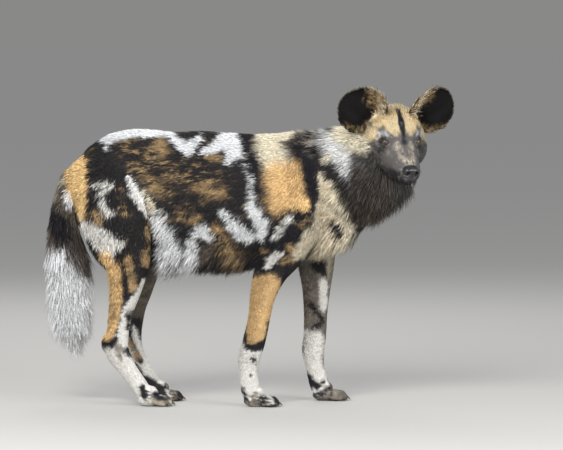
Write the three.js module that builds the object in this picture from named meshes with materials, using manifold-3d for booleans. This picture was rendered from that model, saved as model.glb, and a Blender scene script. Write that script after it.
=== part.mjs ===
// African wild dog, life size, standing with its head turned to its right.
// Millimetres. +X runs towards the chest, +Y to the animal's left, +Z up, and the floor is z = 0.
import * as THREE from "three";
import { mergeVertices } from "three/addons/utils/BufferGeometryUtils.js";
import Module from "manifold-3d";

const wasm = await Module();
wasm.setup();

// Driving dimensions
const GAP = 0.3; // between neighbouring nodes
const WITHERS_HEIGHT = 680; // top of the shoulders above the floor
const BACK_DIP = 5; // how much lower the loin is
const CHEST_HALF_WIDTH = 110;
const FORE_TRACK = 82; // half the distance between the fore legs
const HIND_TRACK = 70; // half the distance between the hind legs
const EYE_POINT = [371.5, -112, 662]; // midway between the eyes
const HEAD_YAW = THREE.MathUtils.degToRad(-71);
const HEAD_PITCH = THREE.MathUtils.degToRad(24);
const EYE_RADIUS = 11.5;
const EYE_HALF_SPACING = 40.5;
const EYE_TURN = 0.38; // how far each eye looks outwards, in radians
const EAR_HALF_WIDTH = 64;
const TAIL_HALF_DEPTH = 62;
const TAIL_HALF_WIDTH = 44;
const TOE_LENGTH = 22;
const CLAW_LENGTH = 15;
const CORE_SHARE = 0.5; // how far the brush's core reaches towards the tips of its locks
const BRUSH_LOCK = { length: 86, lift: 0.42, half: 20, thick: 5 };
const RUFF_LOCK = { length: 60, lift: 0.56, half: 17, thick: 4.5 };
const FRINGE_LOCK = { length: 46, lift: 0.74, half: 17, thick: 4 };
const BIB_LOCK = { length: 64, lift: 0.58, half: 17, thick: 4 };

// Colours of the coat and the bare parts
const finish = (color, roughness) => new THREE.MeshStandardMaterial({ color, roughness, metalness: 0 });
const COAT_DARK = finish(0x2b2a2e, 0.85);
const COAT_TAN = finish(0xc9975a, 0.85);
const COAT_CREAM = finish(0xd9c9a0, 0.85);
const COAT_WHITE = finish(0xe6e4de, 0.85);
const EAR_SKIN = finish(0x2a221e, 0.7);
const NOSE_SKIN = finish(0x17171a, 0.35);
const EYE_AMBER = finish(0x6b3f17, 0.1);

// Lofts. A station is [x, y, z, half width, reach along the section's upper side, reach along its lower side].
// On a level run the upper side is the back. On a leg, which runs down, it is the front.
const SIDE = new THREE.Vector3(0, 1, 0);

class Loft {
  constructor(stations) {
    this.line = new THREE.CatmullRomCurve3(stations.map((s) => new THREE.Vector3(s[0], s[1], s[2])));
    this.reach = new THREE.CatmullRomCurve3(stations.map((s) => new THREE.Vector3(s[3], s[4], s[5])));
  }

  frame(t) {
    const along = this.line.getTangent(t);
    const up = new THREE.Vector3().crossVectors(along, SIDE).normalize();
    const side = new THREE.Vector3().crossVectors(up, along).normalize();
    return { centre: this.line.getPoint(t), along, up, side };
  }

  // A point of the surface. Angle 0 is the upper side, and a quarter turn is the left.
  // What grows the section also draws the ends out, where the surface closes steeply.
  point(t, angle, grow = 0) {
    const { centre, along, up, side } = this.frame(t);
    const { x: width, y: upper, z: lower } = this.reach.getPoint(t);
    const rise = Math.cos(angle) * ((Math.cos(angle) > 0 ? upper : lower) + grow);
    return centre
      .addScaledVector(up, rise)
      .addScaledVector(side, Math.sin(angle) * (width + grow))
      .addScaledVector(along, grow * (4 * t - 2));
  }

  // The surface's outward direction, from two short steps along it.
  normal(t, angle) {
    const step = 0.01;
    const here = this.point(t, angle);
    const ahead = this.point(Math.min(1, t + step), angle).sub(this.point(Math.max(0, t - step), angle));
    const round = this.point(t, angle + step).sub(here);
    return ahead.cross(round).normalize();
  }

  geometry(sides, steps, grow = 0) {
    const rings = [];
    for (let i = 0; i <= steps; i++) {
      const ring = [];
      for (let k = 0; k < sides; k++) ring.push(this.point(i / steps, (2 * Math.PI * k) / sides, grow));
      rings.push(ring);
    }
    return ringSkin(rings);
  }
}

// A closed surface through rings of equally many points, with a flat fan over each end.
function ringSkin(rings) {
  const sides = rings[0].length;
  const points = rings.flat();
  const middle = (ring) => ring.reduce((sum, p) => sum.add(p), new THREE.Vector3()).divideScalar(sides);
  const first = points.push(middle(rings[0])) - 1;
  const last = points.push(middle(rings[rings.length - 1])) - 1;
  const faces = [];
  for (let k = 0; k < sides; k++) {
    const next = (k + 1) % sides;
    faces.push(first, next, k);
    for (let i = 0; i + 1 < rings.length; i++) {
      const [a, b] = [i * sides, (i + 1) * sides];
      faces.push(a + k, a + next, b + next, a + k, b + next, b + k);
    }
    const top = (rings.length - 1) * sides;
    faces.push(last, top + k, top + next);
  }
  return new THREE.BufferGeometry().setFromPoints(points).setIndex(faces);
}

// Solids
function solid(geometry, matrix = new THREE.Matrix4()) {
  const bare = geometry.clone().applyMatrix4(matrix);
  bare.deleteAttribute("normal");
  bare.deleteAttribute("uv");
  const merged = mergeVertices(bare, 1e-3);
  const mesh = (triVerts) =>
    new wasm.Manifold(
      new wasm.Mesh({ numProp: 3, vertProperties: merged.attributes.position.array, triVerts }),
    );
  const made = mesh(new Uint32Array(merged.index.array));
  if (made.volume() > 0) return made;
  return mesh(new Uint32Array(merged.index.array).reverse());
}

const join = (...pieces) => pieces.reduce((sum, piece) => sum.add(piece));
const cut = (body, ...tools) => tools.reduce((rest, tool) => rest.subtract(tool), body);

const joinAll = (pieces) => wasm.Manifold.union(pieces);

// The largest closed surface of a solid.
function mainBody(body) {
  const [largest] = body.decompose().sort((a, b) => Math.abs(b.volume()) - Math.abs(a.volume()));
  return largest;
}

function ball(centre, radii, detail = 12, matrix = new THREE.Matrix4()) {
  const place = new THREE.Matrix4()
    .makeTranslation(...centre)
    .multiply(new THREE.Matrix4().makeScale(...radii));
  const sphere = new THREE.SphereGeometry(1, detail, Math.round(detail * 0.66));
  return solid(sphere, matrix.clone().multiply(place));
}

function block(low, high) {
  const size = high.map((h, i) => h - low[i]);
  const middle = high.map((h, i) => (h + low[i]) / 2);
  return solid(new THREE.BoxGeometry(...size), new THREE.Matrix4().makeTranslation(...middle));
}

// A rod of a round section through points.
function rod(points, radius, matrix = new THREE.Matrix4(), steps = 12, sides = 3) {
  const curve = new THREE.CatmullRomCurve3(points.map((p) => new THREE.Vector3(...p)));
  const section = new THREE.Shape().absarc(0, 0, radius, 0, 2 * Math.PI);
  const settings = { extrudePath: curve, steps, curveSegments: sides, bevelEnabled: false };
  return solid(new THREE.ExtrudeGeometry(section, settings), matrix);
}

// Locks of long coat: flat, tapered and bent, each with its root sunk in the surface that it grows from
let seed = 7;
function chance(low, high) {
  seed = (seed * 16807) % 2147483647;
  return low + (high - low) * (seed / 2147483647);
}

function lock(surface, t, angle, lie, { length, lift, half, thick }) {
  const root = surface.point(t, angle);
  const out = surface.normal(t, angle);
  const flow = lie.clone().addScaledVector(out, -lie.dot(out)).normalize();
  const across = new THREE.Vector3().crossVectors(out, flow).normalize();
  const long = length * chance(0.8, 1.15);
  const raise = lift * chance(0.8, 1.15);
  const tip = root
    .clone()
    .addScaledVector(out, long * raise)
    .addScaledVector(flow, long * Math.sqrt(1 - raise * raise))
    .addScaledVector(across, long * chance(-0.12, 0.12));
  const bend = root
    .clone()
    .addScaledVector(out, long * raise * 0.8)
    .addScaledVector(flow, long * 0.3);
  const line = new THREE.QuadraticBezierCurve3(root.clone().addScaledVector(out, -7), bend, tip);
  const wide = half * chance(0.85, 1.15);
  const rings = [
    [0, 0.8, 1],
    [0.4, 1, 0.9],
    [0.76, 0.78, 0.6],
    [1, 0.08, 0.14],
  ].map(([s, width, depth]) => {
    const centre = line.getPoint(s);
    const face = new THREE.Vector3().crossVectors(line.getTangent(s), across).normalize();
    return [
      centre.clone().addScaledVector(across, wide * width),
      centre.clone().addScaledVector(face, thick * depth),
      centre.clone().addScaledVector(across, -wide * width),
    ];
  });
  return solid(ringSkin(rings));
}

// Rows of locks between two places along a loft, each row spread over an arc and set half a step from the last
function lockRows(surface, rows, columns, [start, end], [middle, arc], lie, size) {
  const locks = [];
  for (let i = 0; i < rows; i++) {
    const t = start + ((end - start) * i) / (rows - 1);
    for (let k = 0; k < columns; k++) {
      const share = (k + 0.5 * (i % 2) + chance(-0.14, 0.14)) / columns;
      const angle = middle + arc * (2 * share - 1 + 0.5 / columns);
      locks.push(lock(surface, t + chance(-0.008, 0.008), angle, lie(t), size(t)));
    }
  }
  return locks;
}

// Torso and neck
const loinTop = WITHERS_HEIGHT - BACK_DIP;
const W = CHEST_HALF_WIDTH;
const torsoStations = [
  [-448, 0, 538, 30, 28, 42],
  [-432, 0, 541, 54, 66, 88],
  [-397, 0, 541, W * 0.72, 107, 122],
  [-347, 0, 541, W * 0.83, 138, 152],
  [-285, 0, 541, W * 0.84, 151, 164],
  [-210, 0, 532, W * 0.85, loinTop - 521, 168],
  [-135, 0, 522, W * 0.92, loinTop - 509, 168],
  [-60, 0, 514, W * 0.98, loinTop - 506, 166],
  [15, 0, 510, W, loinTop - 506, 163],
  [77, 0, 512, W * 0.95, WITHERS_HEIGHT - 511, 162],
  [140, 0, 512, W * 0.87, WITHERS_HEIGHT - 511, 160],
  [202, 0, 496, W * 0.76, 174, 140],
  [245, -3, 468, W * 0.62, 138, 104],
  [272, -5, 446, 40, 78, 58],
  [281, -5, 438, 18, 34, 26],
];
const neckStations = [
  [140, 0, 560, 76, 112, 112],
  [205, -6, 585, 78, 102, 134],
  [262, -24, 606, 78, 90, 138],
  [308, -50, 626, 74, 82, 124],
  [340, -78, 644, 66, 70, 96],
  [354, -94, 652, 38, 40, 52],
];
const torso = new Loft(torsoStations);
const neck = new Loft(neckStations);

// Head, in its own frame: +X out of the muzzle, and the origin midway between the eyes
const headPlace = new THREE.Matrix4()
  .makeTranslation(...EYE_POINT)
  .multiply(new THREE.Matrix4().makeRotationZ(HEAD_YAW))
  .multiply(new THREE.Matrix4().makeRotationY(HEAD_PITCH));
const headStations = [
  [-106, 0, -8, 26, 24, 28],
  [-92, 0, -8, 56, 52, 58],
  [-62, 0, -10, 76, 77, 74],
  [-30, 0, -13, 79, 74, 76],
  [-4, 0, -17, 69, 59, 68],
  [18, 0, -25, 54, 44, 60],
  [42, 0, -33, 43, 36, 50],
  [68, 0, -39, 38, 33, 42],
  [90, 0, -43, 34, 30, 36],
  [104, 0, -45, 25, 23, 26],
  [109, 0, -45, 13, 13, 14],
];
const head = new Loft(headStations);
const MOUTH_START = 0.92; // share of the head's line at the chin
const MOUTH_END = 0.56;

// Legs: from the shoulder or hip down to the ankle
const fore = (y, x, rows) => rows.map(([dx, inset, z, w, f, b]) => [x + dx, Math.sign(y) * (Math.abs(y) - inset), z, w, f, b]);
const foreRight = fore(-FORE_TRACK, 0, [
  [122, 24, 620, 20, 26, 26],
  [128, 20, 590, 32, 50, 50],
  [132, 14, 500, 38, 58, 60],
  [96, 6, 400, 40, 56, 50],
  [56, 0, 335, 33, 44, 42],
  [36, 0, 276, 28, 34, 34],
  [26, 0, 218, 25.5, 30, 30],
  [14, 0, 164, 25, 31, 31],
  [3, 0, 128, 25, 31, 32],
  [0, 0, 82, 22, 26, 27],
  [4, 0, 48, 23, 27, 28],
  [8, 0, 24, 22, 24, 24],
]);
const foreLeft = fore(FORE_TRACK - 6, 166, [
  [-24, 24, 620, 20, 26, 26],
  [-20, 20, 590, 32, 50, 50],
  [-14, 14, 500, 38, 58, 60],
  [0, 6, 400, 40, 54, 52],
  [4, 0, 335, 33, 46, 46],
  [4, 0, 276, 28, 37, 37],
  [2, 0, 218, 25.5, 32, 32],
  [0, 0, 164, 25, 31, 31],
  [-4, 0, 128, 25, 31, 32],
  [1, 0, 82, 22, 26, 27],
  [9, 0, 48, 23, 27, 28],
  [14, 0, 24, 22, 24, 24],
]);
const hindRows = [
  [-30, 26, 625, 20, 30, 30],
  [-30, 20, 590, 38, 62, 62],
  [-25, 8, 500, 46, 88, 94],
  [-8, 0, 412, 44, 70, 82],
  [2, 0, 352, 38, 56, 58],
  [-4, 0, 292, 31, 43, 42],
  [-16, 0, 234, 25, 33, 32],
  [-24, 0, 180, 22.5, 31, 30],
  [-24, 0, 138, 23, 32, 34],
  [2, 0, 92, 20.5, 25, 26],
  [34, 0, 46, 21, 23, 24],
  [46, 0, 24, 21, 22, 22],
];
const hindRight = fore(-HIND_TRACK, -302, hindRows);
const hindLeft = fore(HIND_TRACK, -276, hindRows.map(([dx, ...rest]) => [dx * 0.92, ...rest]));

// Tail: the root leaves the rump and the brush hangs from it
const tailStations = [
  [-396, 0, 588, 34, 34, 34],
  [-430, 0, 556, 36, 38, 38],
  [-452, 0, 510, 34, 36, 34],
  [-460, 0, 462, 34, 36, 36],
  [-458, 0, 420, TAIL_HALF_WIDTH * 0.9, TAIL_HALF_DEPTH * 0.8, TAIL_HALF_DEPTH * 0.8],
  [-452, 0, 350, TAIL_HALF_WIDTH, TAIL_HALF_DEPTH, TAIL_HALF_DEPTH],
  [-449, 0, 290, TAIL_HALF_WIDTH, TAIL_HALF_DEPTH, TAIL_HALF_DEPTH],
  [-446, 0, 230, TAIL_HALF_WIDTH * 0.84, TAIL_HALF_DEPTH * 0.84, TAIL_HALF_DEPTH * 0.84],
  [-440, 0, 178, TAIL_HALF_WIDTH * 0.55, TAIL_HALF_DEPTH * 0.52, TAIL_HALF_DEPTH * 0.55],
  [-428, 0, 140, 8, 8, 8],
  [-425, 0, 132, 2, 2, 2],
];
const tail = new Loft(tailStations);
const TAIL_SPLIT = 470; // height where the root ends and the brush starts

// Inside the brush, its core: as thick as the root at the top, and then a share of the brush
const brushCore = new Loft(
  tailStations.slice(0, -1).map(([x, y, z, ...reach]) => {
    const share = z > 440 ? 1 : z > 400 ? 0.66 : CORE_SHARE;
    return [x, y, z, ...reach.map((r) => r * share)];
  }),
);

// Whole solids before they are parted, and the same ones grown by the gap
const lofted = (shape, sides, steps) => [0, 1.7 * GAP].map((grow) => solid(shape.geometry(sides, steps, grow)));
const [torsoBody, torsoTool] = lofted(torso, 20, 18);
const [neckBody, neckTool] = lofted(neck, 20, 9);
const [tailBody] = lofted(brushCore, 12, 14);

function headBody(grow) {
  const skull = solid(head.geometry(20, 17, grow), headPlace);
  const brows = [-1, 1].map((s) =>
    ball([4, s * 37, 15], [17 + grow, 17 + grow, 9 + grow], 8, headPlace),
  );
  const chin = ball([78, 0, -73], [25 + grow, 20 + grow, 14 + grow], 10, headPlace);
  const cheeks = [-1, 1].map((s) =>
    ball([-34, s * 51, -38], [46 + grow, 38 + grow, 48 + grow], 10, headPlace),
  );
  return join(skull, chin, ...brows, ...cheeks);
}

// The line of the mouth: a groove round the muzzle, with the upper lip's edge raised over it
function mouthPath(drop, lift) {
  const points = [];
  const turns = 9;
  for (let i = 0; i < turns; i++) {
    const across = (2 * i) / (turns - 1) - 1;
    const back = Math.abs(across);
    const t = MOUTH_START + (MOUTH_END - MOUTH_START) * back ** 1.4;
    const angle = Math.PI - across * (0.5 + 0.42 * back) * 1.25;
    const p = head.point(t, angle, lift);
    points.push([p.x + (1 - back) * 4, p.y, p.z + drop]);
  }
  return points;
}

const eyePlace = (s) => [12, s * EYE_HALF_SPACING, 4];

// A frame at the eye whose +Z faces out and forwards and whose +X points down
const eyeTurn = (s) =>
  headPlace
    .clone()
    .multiply(new THREE.Matrix4().makeTranslation(...eyePlace(s)))
    .multiply(new THREE.Matrix4().makeRotationZ(s * EYE_TURN))
    .multiply(new THREE.Matrix4().makeRotationY(Math.PI / 2));

// The lids: a flattened ring round each eye, with the almond opening between them
function lids(s) {
  const shape = new THREE.Matrix4()
    .makeTranslation(0, 0, 6)
    .multiply(new THREE.Matrix4().makeScale(0.78, 1.04, 1));
  return solid(new THREE.TorusGeometry(11, 3.8, 6, 12), eyeTurn(s).multiply(shape));
}
const socket = (s) => ball([0, 0, 10], [6.4, 9.8, 10], 12, eyeTurn(s));

const eyeSolid = (s, grow) => ball(eyePlace(s), Array(3).fill(EYE_RADIUS + grow), 12, headPlace);

// Ears: round cups on a short stalk. The blade is a grid between two faces that meet at the rim.
function ear(s) {
  const root = new THREE.Vector3(-58, s * 34, 26);
  const tip = new THREE.Vector3(-50, s * 136, 109);
  const along = tip.clone().sub(root).normalize();
  const facing = new THREE.Vector3(0.95, s * 0.3, 0.05).addScaledVector(along, -0.3).normalize();
  const across = new THREE.Vector3().crossVectors(along, facing).normalize();
  const length = root.distanceTo(tip);
  const rows = 11;
  const columns = 8;
  const point = (i, j, face) => {
    const u = i / rows;
    const v = (2 * j) / columns - 1;
    const wide = 0.54;
    const tipward = Math.max(0, (u - wide) / (1 - wide));
    const rootward = Math.max(0, (wide - u) / wide);
    const half = EAR_HALF_WIDTH * Math.sqrt(1 - (tipward * 0.99) ** 2) * (1 - 0.6 * rootward ** 1.6);
    const cup = (30 - 20 * u) * (half / EAR_HALF_WIDTH);
    const thick = 1.3 + 1.8 * (1 - v * v) * (1 - tipward);
    return root
      .clone()
      .addScaledVector(along, u * length)
      .addScaledVector(across, v * half)
      .addScaledVector(facing, cup * v * v - 4 * tipward ** 2 + face * thick);
  };
  const rings = [];
  for (let i = 0; i <= rows; i++) {
    const ring = [];
    for (let j = 0; j <= columns; j++) ring.push(point(i, j, 1));
    for (let j = columns; j >= 0; j--) ring.push(point(i, j, -1));
    rings.push(ring);
  }
  return solid(ringSkin(rings), headPlace);
}

// Paws: four toes with claws round a broad pad, cut flat at the floor
function paw(ankle, y, reach) {
  const x = ankle + 12;
  const pads = [ball([x, y, 17], [33, 25, 21], 9), ball([x - 6, y, 30], [26, 22, 24], 8)];
  const toes = [];
  [-1.5, -0.5, 0.5, 1.5].forEach((n) => {
    const inner = Math.abs(n) < 1;
    const toeX = x + reach + (inner ? 9 : 0);
    const toeY = y + n * 14.5;
    toes.push(ball([toeX, toeY, 13], [TOE_LENGTH, 9, 15], 6));
    const tip = toeX + TOE_LENGTH - 7;
    const claw = new THREE.ConeGeometry(3.4, CLAW_LENGTH, 5);
    const lean = new THREE.Matrix4()
      .makeTranslation(tip + CLAW_LENGTH / 2 - 2, toeY, 8.5)
      .multiply(new THREE.Matrix4().makeRotationY(0.3));
    toes.push(solid(claw, lean.multiply(new THREE.Matrix4().makeRotationZ(-Math.PI / 2))));
  });
  return cut(join(...pads, ...toes), block([x - 200, y - 100, -80], [x + 200, y + 100, 0]));
}

// Legs, parted at the elbow or knee and at the ankle
const legs = [
  ["fore", "right", foreRight, 330, 44, 28, COAT_TAN],
  ["fore", "left", foreLeft, 330, 44, 28, COAT_WHITE],
  ["hind", "right", hindRight, 300, 40, 26, COAT_WHITE],
  ["hind", "left", hindLeft, 300, 40, 26, COAT_WHITE],
].map(([end, side, stations, ...rest]) => [end, side, stations, lofted(new Loft(stations), 12, 17), ...rest]);
const legTools = legs.map(([, , , [, tool]]) => tool);

// Nodes
const group = new THREE.Group();

function addNode(name, body, material) {
  const mesh = mainBody(body).getMesh();
  const positions = new Float32Array(mesh.numVert * 3);
  for (let i = 0; i < mesh.numVert; i++) {
    const start = i * mesh.numProp;
    positions.set(mesh.vertProperties.subarray(start, start + 3), i * 3);
  }
  const geometry = new THREE.BufferGeometry();
  geometry.setAttribute("position", new THREE.BufferAttribute(positions, 3));
  geometry.setIndex(new THREE.BufferAttribute(new Uint32Array(mesh.triVerts), 1));
  geometry.computeVertexNormals();
  const node = new THREE.Mesh(geometry, material);
  node.name = name;
  group.add(node);
}

// Head and what it carries
const headTool = headBody(1.7 * GAP);
const eyes = [-1, 1].map((s) => eyeSolid(s, 0));
const noseCentre = [105, 0, -34];
const noseReach = [14, 22, 16];
const nosePad = ball(noseCentre, noseReach, 10, headPlace);
const nostrils = [-1, 1].map((s) =>
  ball([118, s * 9.5, -34], [8, 4.4, 4.8], 6, headPlace),
);
const noseTool = ball(noseCentre, noseReach.map((r) => r + GAP), 10, headPlace);
const earBodies = [-1, 1].map((s) => cut(ear(s), headTool, neckTool));
const wholeHead = cut(
  join(headBody(0), lids(-1), lids(1), rod(mouthPath(2.6, 0.2), 2.2, headPlace)),
  rod(mouthPath(0, 0.8), 1.7, headPlace),
  noseTool,
  ...[-1, 1].flatMap((s) => [eyeSolid(s, GAP), socket(s)]),
);
const lidTools = join(lids(-1), lids(1));
addNode("head", wholeHead, COAT_CREAM);
addNode("nose", cut(nosePad, ...nostrils), NOSE_SKIN);
addNode("eye_right", eyes[0], EYE_AMBER);
addNode("eye_left", eyes[1], EYE_AMBER);
addNode("ear_right", earBodies[0], EAR_SKIN);
addNode("ear_left", earBodies[1], EAR_SKIN);

// Throat ruff: dark locks down the throat and the sides of the neck, that fall over the chest
const ruff = lockRows(
  neck, 5, 7, [0.42, 0.8], [Math.PI, 1.4],
  (t) => new THREE.Vector3(0, 0, -0.75).addScaledVector(neck.frame(t).along, -0.6),
  () => RUFF_LOCK,
);
addNode("neck", cut(joinAll([neckBody, ...ruff]), headTool, torsoTool, lidTools, ...legTools), COAT_DARK);

// Belly fringe, and the bib between the forelegs
const fringe = lockRows(
  torso, 7, 3, [0.36, 0.57], [Math.PI, 0.6],
  () => new THREE.Vector3(-0.8, 0, -0.35),
  () => FRINGE_LOCK,
);
const bib = lockRows(
  torso, 4, 4, [0.82, 0.93], [Math.PI, 0.9],
  () => new THREE.Vector3(-0.35, 0, -1),
  () => BIB_LOCK,
);
addNode("torso", join(torsoBody, cut(joinAll([...fringe, ...bib]), ...legTools)), COAT_DARK);

// Tail
const below = block([-900, -300, -50], [900, 300, TAIL_SPLIT]);
const above = block([-900, -300, TAIL_SPLIT + GAP], [900, 300, 900]);
addNode("tail_root", cut(tailBody.intersect(above), torsoTool), COAT_TAN);
const brush = lockRows(
  brushCore, 7, 7, [0.36, 0.87], [0, Math.PI],
  (t) => brushCore.frame(t).along,
  (t) => {
    const end = Math.max(0, t - 0.6) / 0.27;
    return { ...BRUSH_LOCK, length: BRUSH_LOCK.length * (1 - 0.3 * end), half: BRUSH_LOCK.half * (1 - 0.45 * end) };
  },
);
addNode("tail_brush", cut(joinAll([tailBody, ...brush]).intersect(below), torsoTool, ...legTools), COAT_WHITE);

for (const [end, side, stations, [leg], joint, ankle, reach, material] of legs) {
  const [footX, y] = stations[stations.length - 1];
  const foot = paw(footX, y, reach);
  const above = block([-900, -300, joint + GAP], [900, 300, 900]);
  const middle = block([-900, -300, ankle + GAP], [900, 300, joint]);
  const below = block([-900, -300, -50], [900, 300, ankle]);
  const name = (part) => `${end}_${part}_${side}`;
  const wrist = join(leg, foot);
  addNode(name(end === "fore" ? "shoulder" : "thigh"), cut(leg.intersect(above), torsoTool, neckTool), material);
  addNode(name(end === "fore" ? "arm" : "shank"), wrist.intersect(middle), material);
  addNode(name("paw"), cut(wrist.intersect(below), block([-900, -300, -50], [900, 300, 0])), material);
}

// The origin is on the floor under the middle of the whole animal.
const box = new THREE.Box3().setFromObject(group);
const centre = box.getCenter(new THREE.Vector3());
group.position.set(-centre.x, -centre.y, -box.min.z);
group.updateMatrixWorld(true);

export default group;
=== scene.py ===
"""African wild dog, life size, standing with its head turned to its right.

Tables are in millimetres on the axes of the solids: +X towards the chest, +Y to the animal's left, +Z up.
Marks on the coat are strokes in side view: [along, down, reach], in steps of STEP from a corner of the view.
"""

import itertools
import math

import bpy
import numpy as np
from bpy.props import FloatProperty, FloatVectorProperty, IntProperty, PointerProperty
from mathutils import Matrix, Vector


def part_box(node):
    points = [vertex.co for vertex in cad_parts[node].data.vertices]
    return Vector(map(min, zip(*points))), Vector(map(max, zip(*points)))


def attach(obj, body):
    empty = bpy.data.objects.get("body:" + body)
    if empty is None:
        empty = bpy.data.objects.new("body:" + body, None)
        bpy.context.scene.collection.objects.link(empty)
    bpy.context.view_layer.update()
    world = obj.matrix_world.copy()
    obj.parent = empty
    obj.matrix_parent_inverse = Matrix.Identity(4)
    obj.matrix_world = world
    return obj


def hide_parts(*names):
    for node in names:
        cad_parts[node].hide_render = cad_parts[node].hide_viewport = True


bl_info = {
    "name": "African Wild Dog",
    "version": (1, 0, 0),
    "blender": (4, 5, 0),
    "location": "View3D > Sidebar > Wild Dog",
    "description": "A standing african wild dog with its painted coat",
    "category": "Add Mesh",
}

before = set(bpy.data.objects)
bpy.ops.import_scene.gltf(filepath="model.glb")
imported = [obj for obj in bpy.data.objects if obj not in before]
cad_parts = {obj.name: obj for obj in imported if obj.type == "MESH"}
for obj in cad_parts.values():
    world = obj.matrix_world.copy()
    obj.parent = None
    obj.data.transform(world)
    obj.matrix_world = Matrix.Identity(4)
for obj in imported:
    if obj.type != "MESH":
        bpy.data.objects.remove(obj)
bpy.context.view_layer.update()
MM = 0.001
STEP = 2.5  # millimetres in one step of the marks
ORIGIN = (249, 404)  # steps along and down, from the corner of the view to the origin of the tables
VIEW = (563, 450)  # width and height of the view, in steps
FLOOR_GAP = 0.4  # millimetres from the floor to the lowest skin and hair
PIECE_LIMIT = 190000  # triangles in one piece of the coat
LONG_HAIR = 26  # length in millimetres from which a tuft bends in two places
FOOT_HEIGHT = 60  # millimetres above the floor
TOE_START = 12  # millimetres from the middle of a foot's last section to its pads

# Body tables: x, y, z, half width, reach along the section's upper side, reach along its lower side
WITHERS_HEIGHT = 680
LOIN_TOP = 675
CHEST = 110
EYE_POINT = (371.5, -112, 662)
HEAD_YAW = -71
HEAD_PITCH = 24
EYE_RADIUS = 11.5
EYE_PLACE = (12, 40.5, 4)
EYE_TURN = 0.38
TORSO = [
    [-448, 0, 538, 30, 28, 42],
    [-432, 0, 541, 54, 66, 88],
    [-397, 0, 541, CHEST * 0.72, 107, 122],
    [-347, 0, 541, CHEST * 0.83, 138, 152],
    [-285, 0, 541, CHEST * 0.84, 151, 164],
    [-210, 0, 532, CHEST * 0.85, LOIN_TOP - 521, 168],
    [-135, 0, 522, CHEST * 0.92, LOIN_TOP - 509, 168],
    [-60, 0, 514, CHEST * 0.98, LOIN_TOP - 506, 166],
    [15, 0, 510, CHEST, LOIN_TOP - 506, 163],
    [77, 0, 512, CHEST * 0.95, WITHERS_HEIGHT - 511, 162],
    [140, 0, 512, CHEST * 0.87, WITHERS_HEIGHT - 511, 160],
    [202, 0, 496, CHEST * 0.76, 174, 140],
    [245, -3, 468, CHEST * 0.62, 138, 104],
    [272, -5, 446, 40, 78, 58],
    [281, -5, 438, 18, 34, 26],
]
NECK = [
    [140, 0, 560, 76, 112, 112],
    [205, -6, 585, 78, 102, 134],
    [262, -24, 606, 78, 90, 138],
    [308, -50, 626, 74, 82, 124],
    [340, -78, 644, 66, 70, 96],
    [354, -94, 652, 38, 40, 52],
]
HEAD = [
    [-106, 0, -8, 26, 24, 28],
    [-92, 0, -8, 56, 52, 58],
    [-62, 0, -10, 76, 77, 74],
    [-30, 0, -13, 79, 74, 76],
    [-4, 0, -17, 69, 59, 68],
    [18, 0, -25, 54, 44, 60],
    [42, 0, -33, 43, 36, 50],
    [68, 0, -39, 38, 33, 42],
    [90, 0, -43, 34, 30, 36],
    [104, 0, -45, 25, 23, 26],
    [109, 0, -45, 13, 13, 14],
]
FORE_RIGHT = [
    [122, -58, 620, 20, 26, 26],
    [128, -62, 590, 32, 50, 50],
    [132, -68, 500, 38, 58, 60],
    [96, -76, 400, 40, 56, 50],
    [56, -82, 335, 33, 44, 42],
    [36, -82, 276, 28, 34, 34],
    [26, -82, 218, 25.5, 30, 30],
    [14, -82, 164, 25, 31, 31],
    [3, -82, 128, 25, 31, 32],
    [0, -82, 82, 22, 26, 27],
    [4, -82, 48, 23, 27, 28],
    [8, -82, 24, 22, 24, 24],
]
FORE_LEFT = [
    [142, 52, 620, 20, 26, 26],
    [146, 56, 590, 32, 50, 50],
    [152, 62, 500, 38, 58, 60],
    [166, 70, 400, 40, 54, 52],
    [170, 76, 335, 33, 46, 46],
    [170, 76, 276, 28, 37, 37],
    [168, 76, 218, 25.5, 32, 32],
    [166, 76, 164, 25, 31, 31],
    [162, 76, 128, 25, 31, 32],
    [167, 76, 82, 22, 26, 27],
    [175, 76, 48, 23, 27, 28],
    [180, 76, 24, 22, 24, 24],
]
HIND_RIGHT = [
    [-332, -44, 625, 20, 30, 30],
    [-332, -50, 590, 38, 62, 62],
    [-327, -62, 500, 46, 88, 94],
    [-310, -70, 412, 44, 70, 82],
    [-300, -70, 352, 38, 56, 58],
    [-306, -70, 292, 31, 43, 42],
    [-318, -70, 234, 25, 33, 32],
    [-326, -70, 180, 22.5, 31, 30],
    [-326, -70, 138, 23, 32, 34],
    [-300, -70, 92, 20.5, 25, 26],
    [-268, -70, 46, 21, 23, 24],
    [-256, -70, 24, 21, 22, 22],
]
HIND_LEFT = [[-276 + 0.92 * (row[0] + 302), -row[1], *row[2:]] for row in HIND_RIGHT]
TAIL_DEPTH = 62
TAIL_WIDTH = 44
TAIL = [
    [-396, 0, 588, 34, 34, 34],
    [-430, 0, 556, 36, 38, 38],
    [-452, 0, 510, 34, 36, 34],
    [-460, 0, 462, 34, 36, 36],
    [-458, 0, 420, TAIL_WIDTH * 0.55, TAIL_DEPTH * 0.5, TAIL_DEPTH * 0.5],
    [-452, 0, 350, TAIL_WIDTH * 0.42, TAIL_DEPTH * 0.42, TAIL_DEPTH * 0.42],
    [-449, 0, 290, TAIL_WIDTH * 0.4, TAIL_DEPTH * 0.4, TAIL_DEPTH * 0.4],
    [-446, 0, 230, TAIL_WIDTH * 0.34, TAIL_DEPTH * 0.34, TAIL_DEPTH * 0.34],
    [-440, 0, 190, 9, 9, 9],
    [-436, 0, 165, 4, 4, 4],
]


def unit(v):
    return v / np.maximum(np.linalg.norm(v, axis=-1, keepdims=True), 1e-9)


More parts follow.
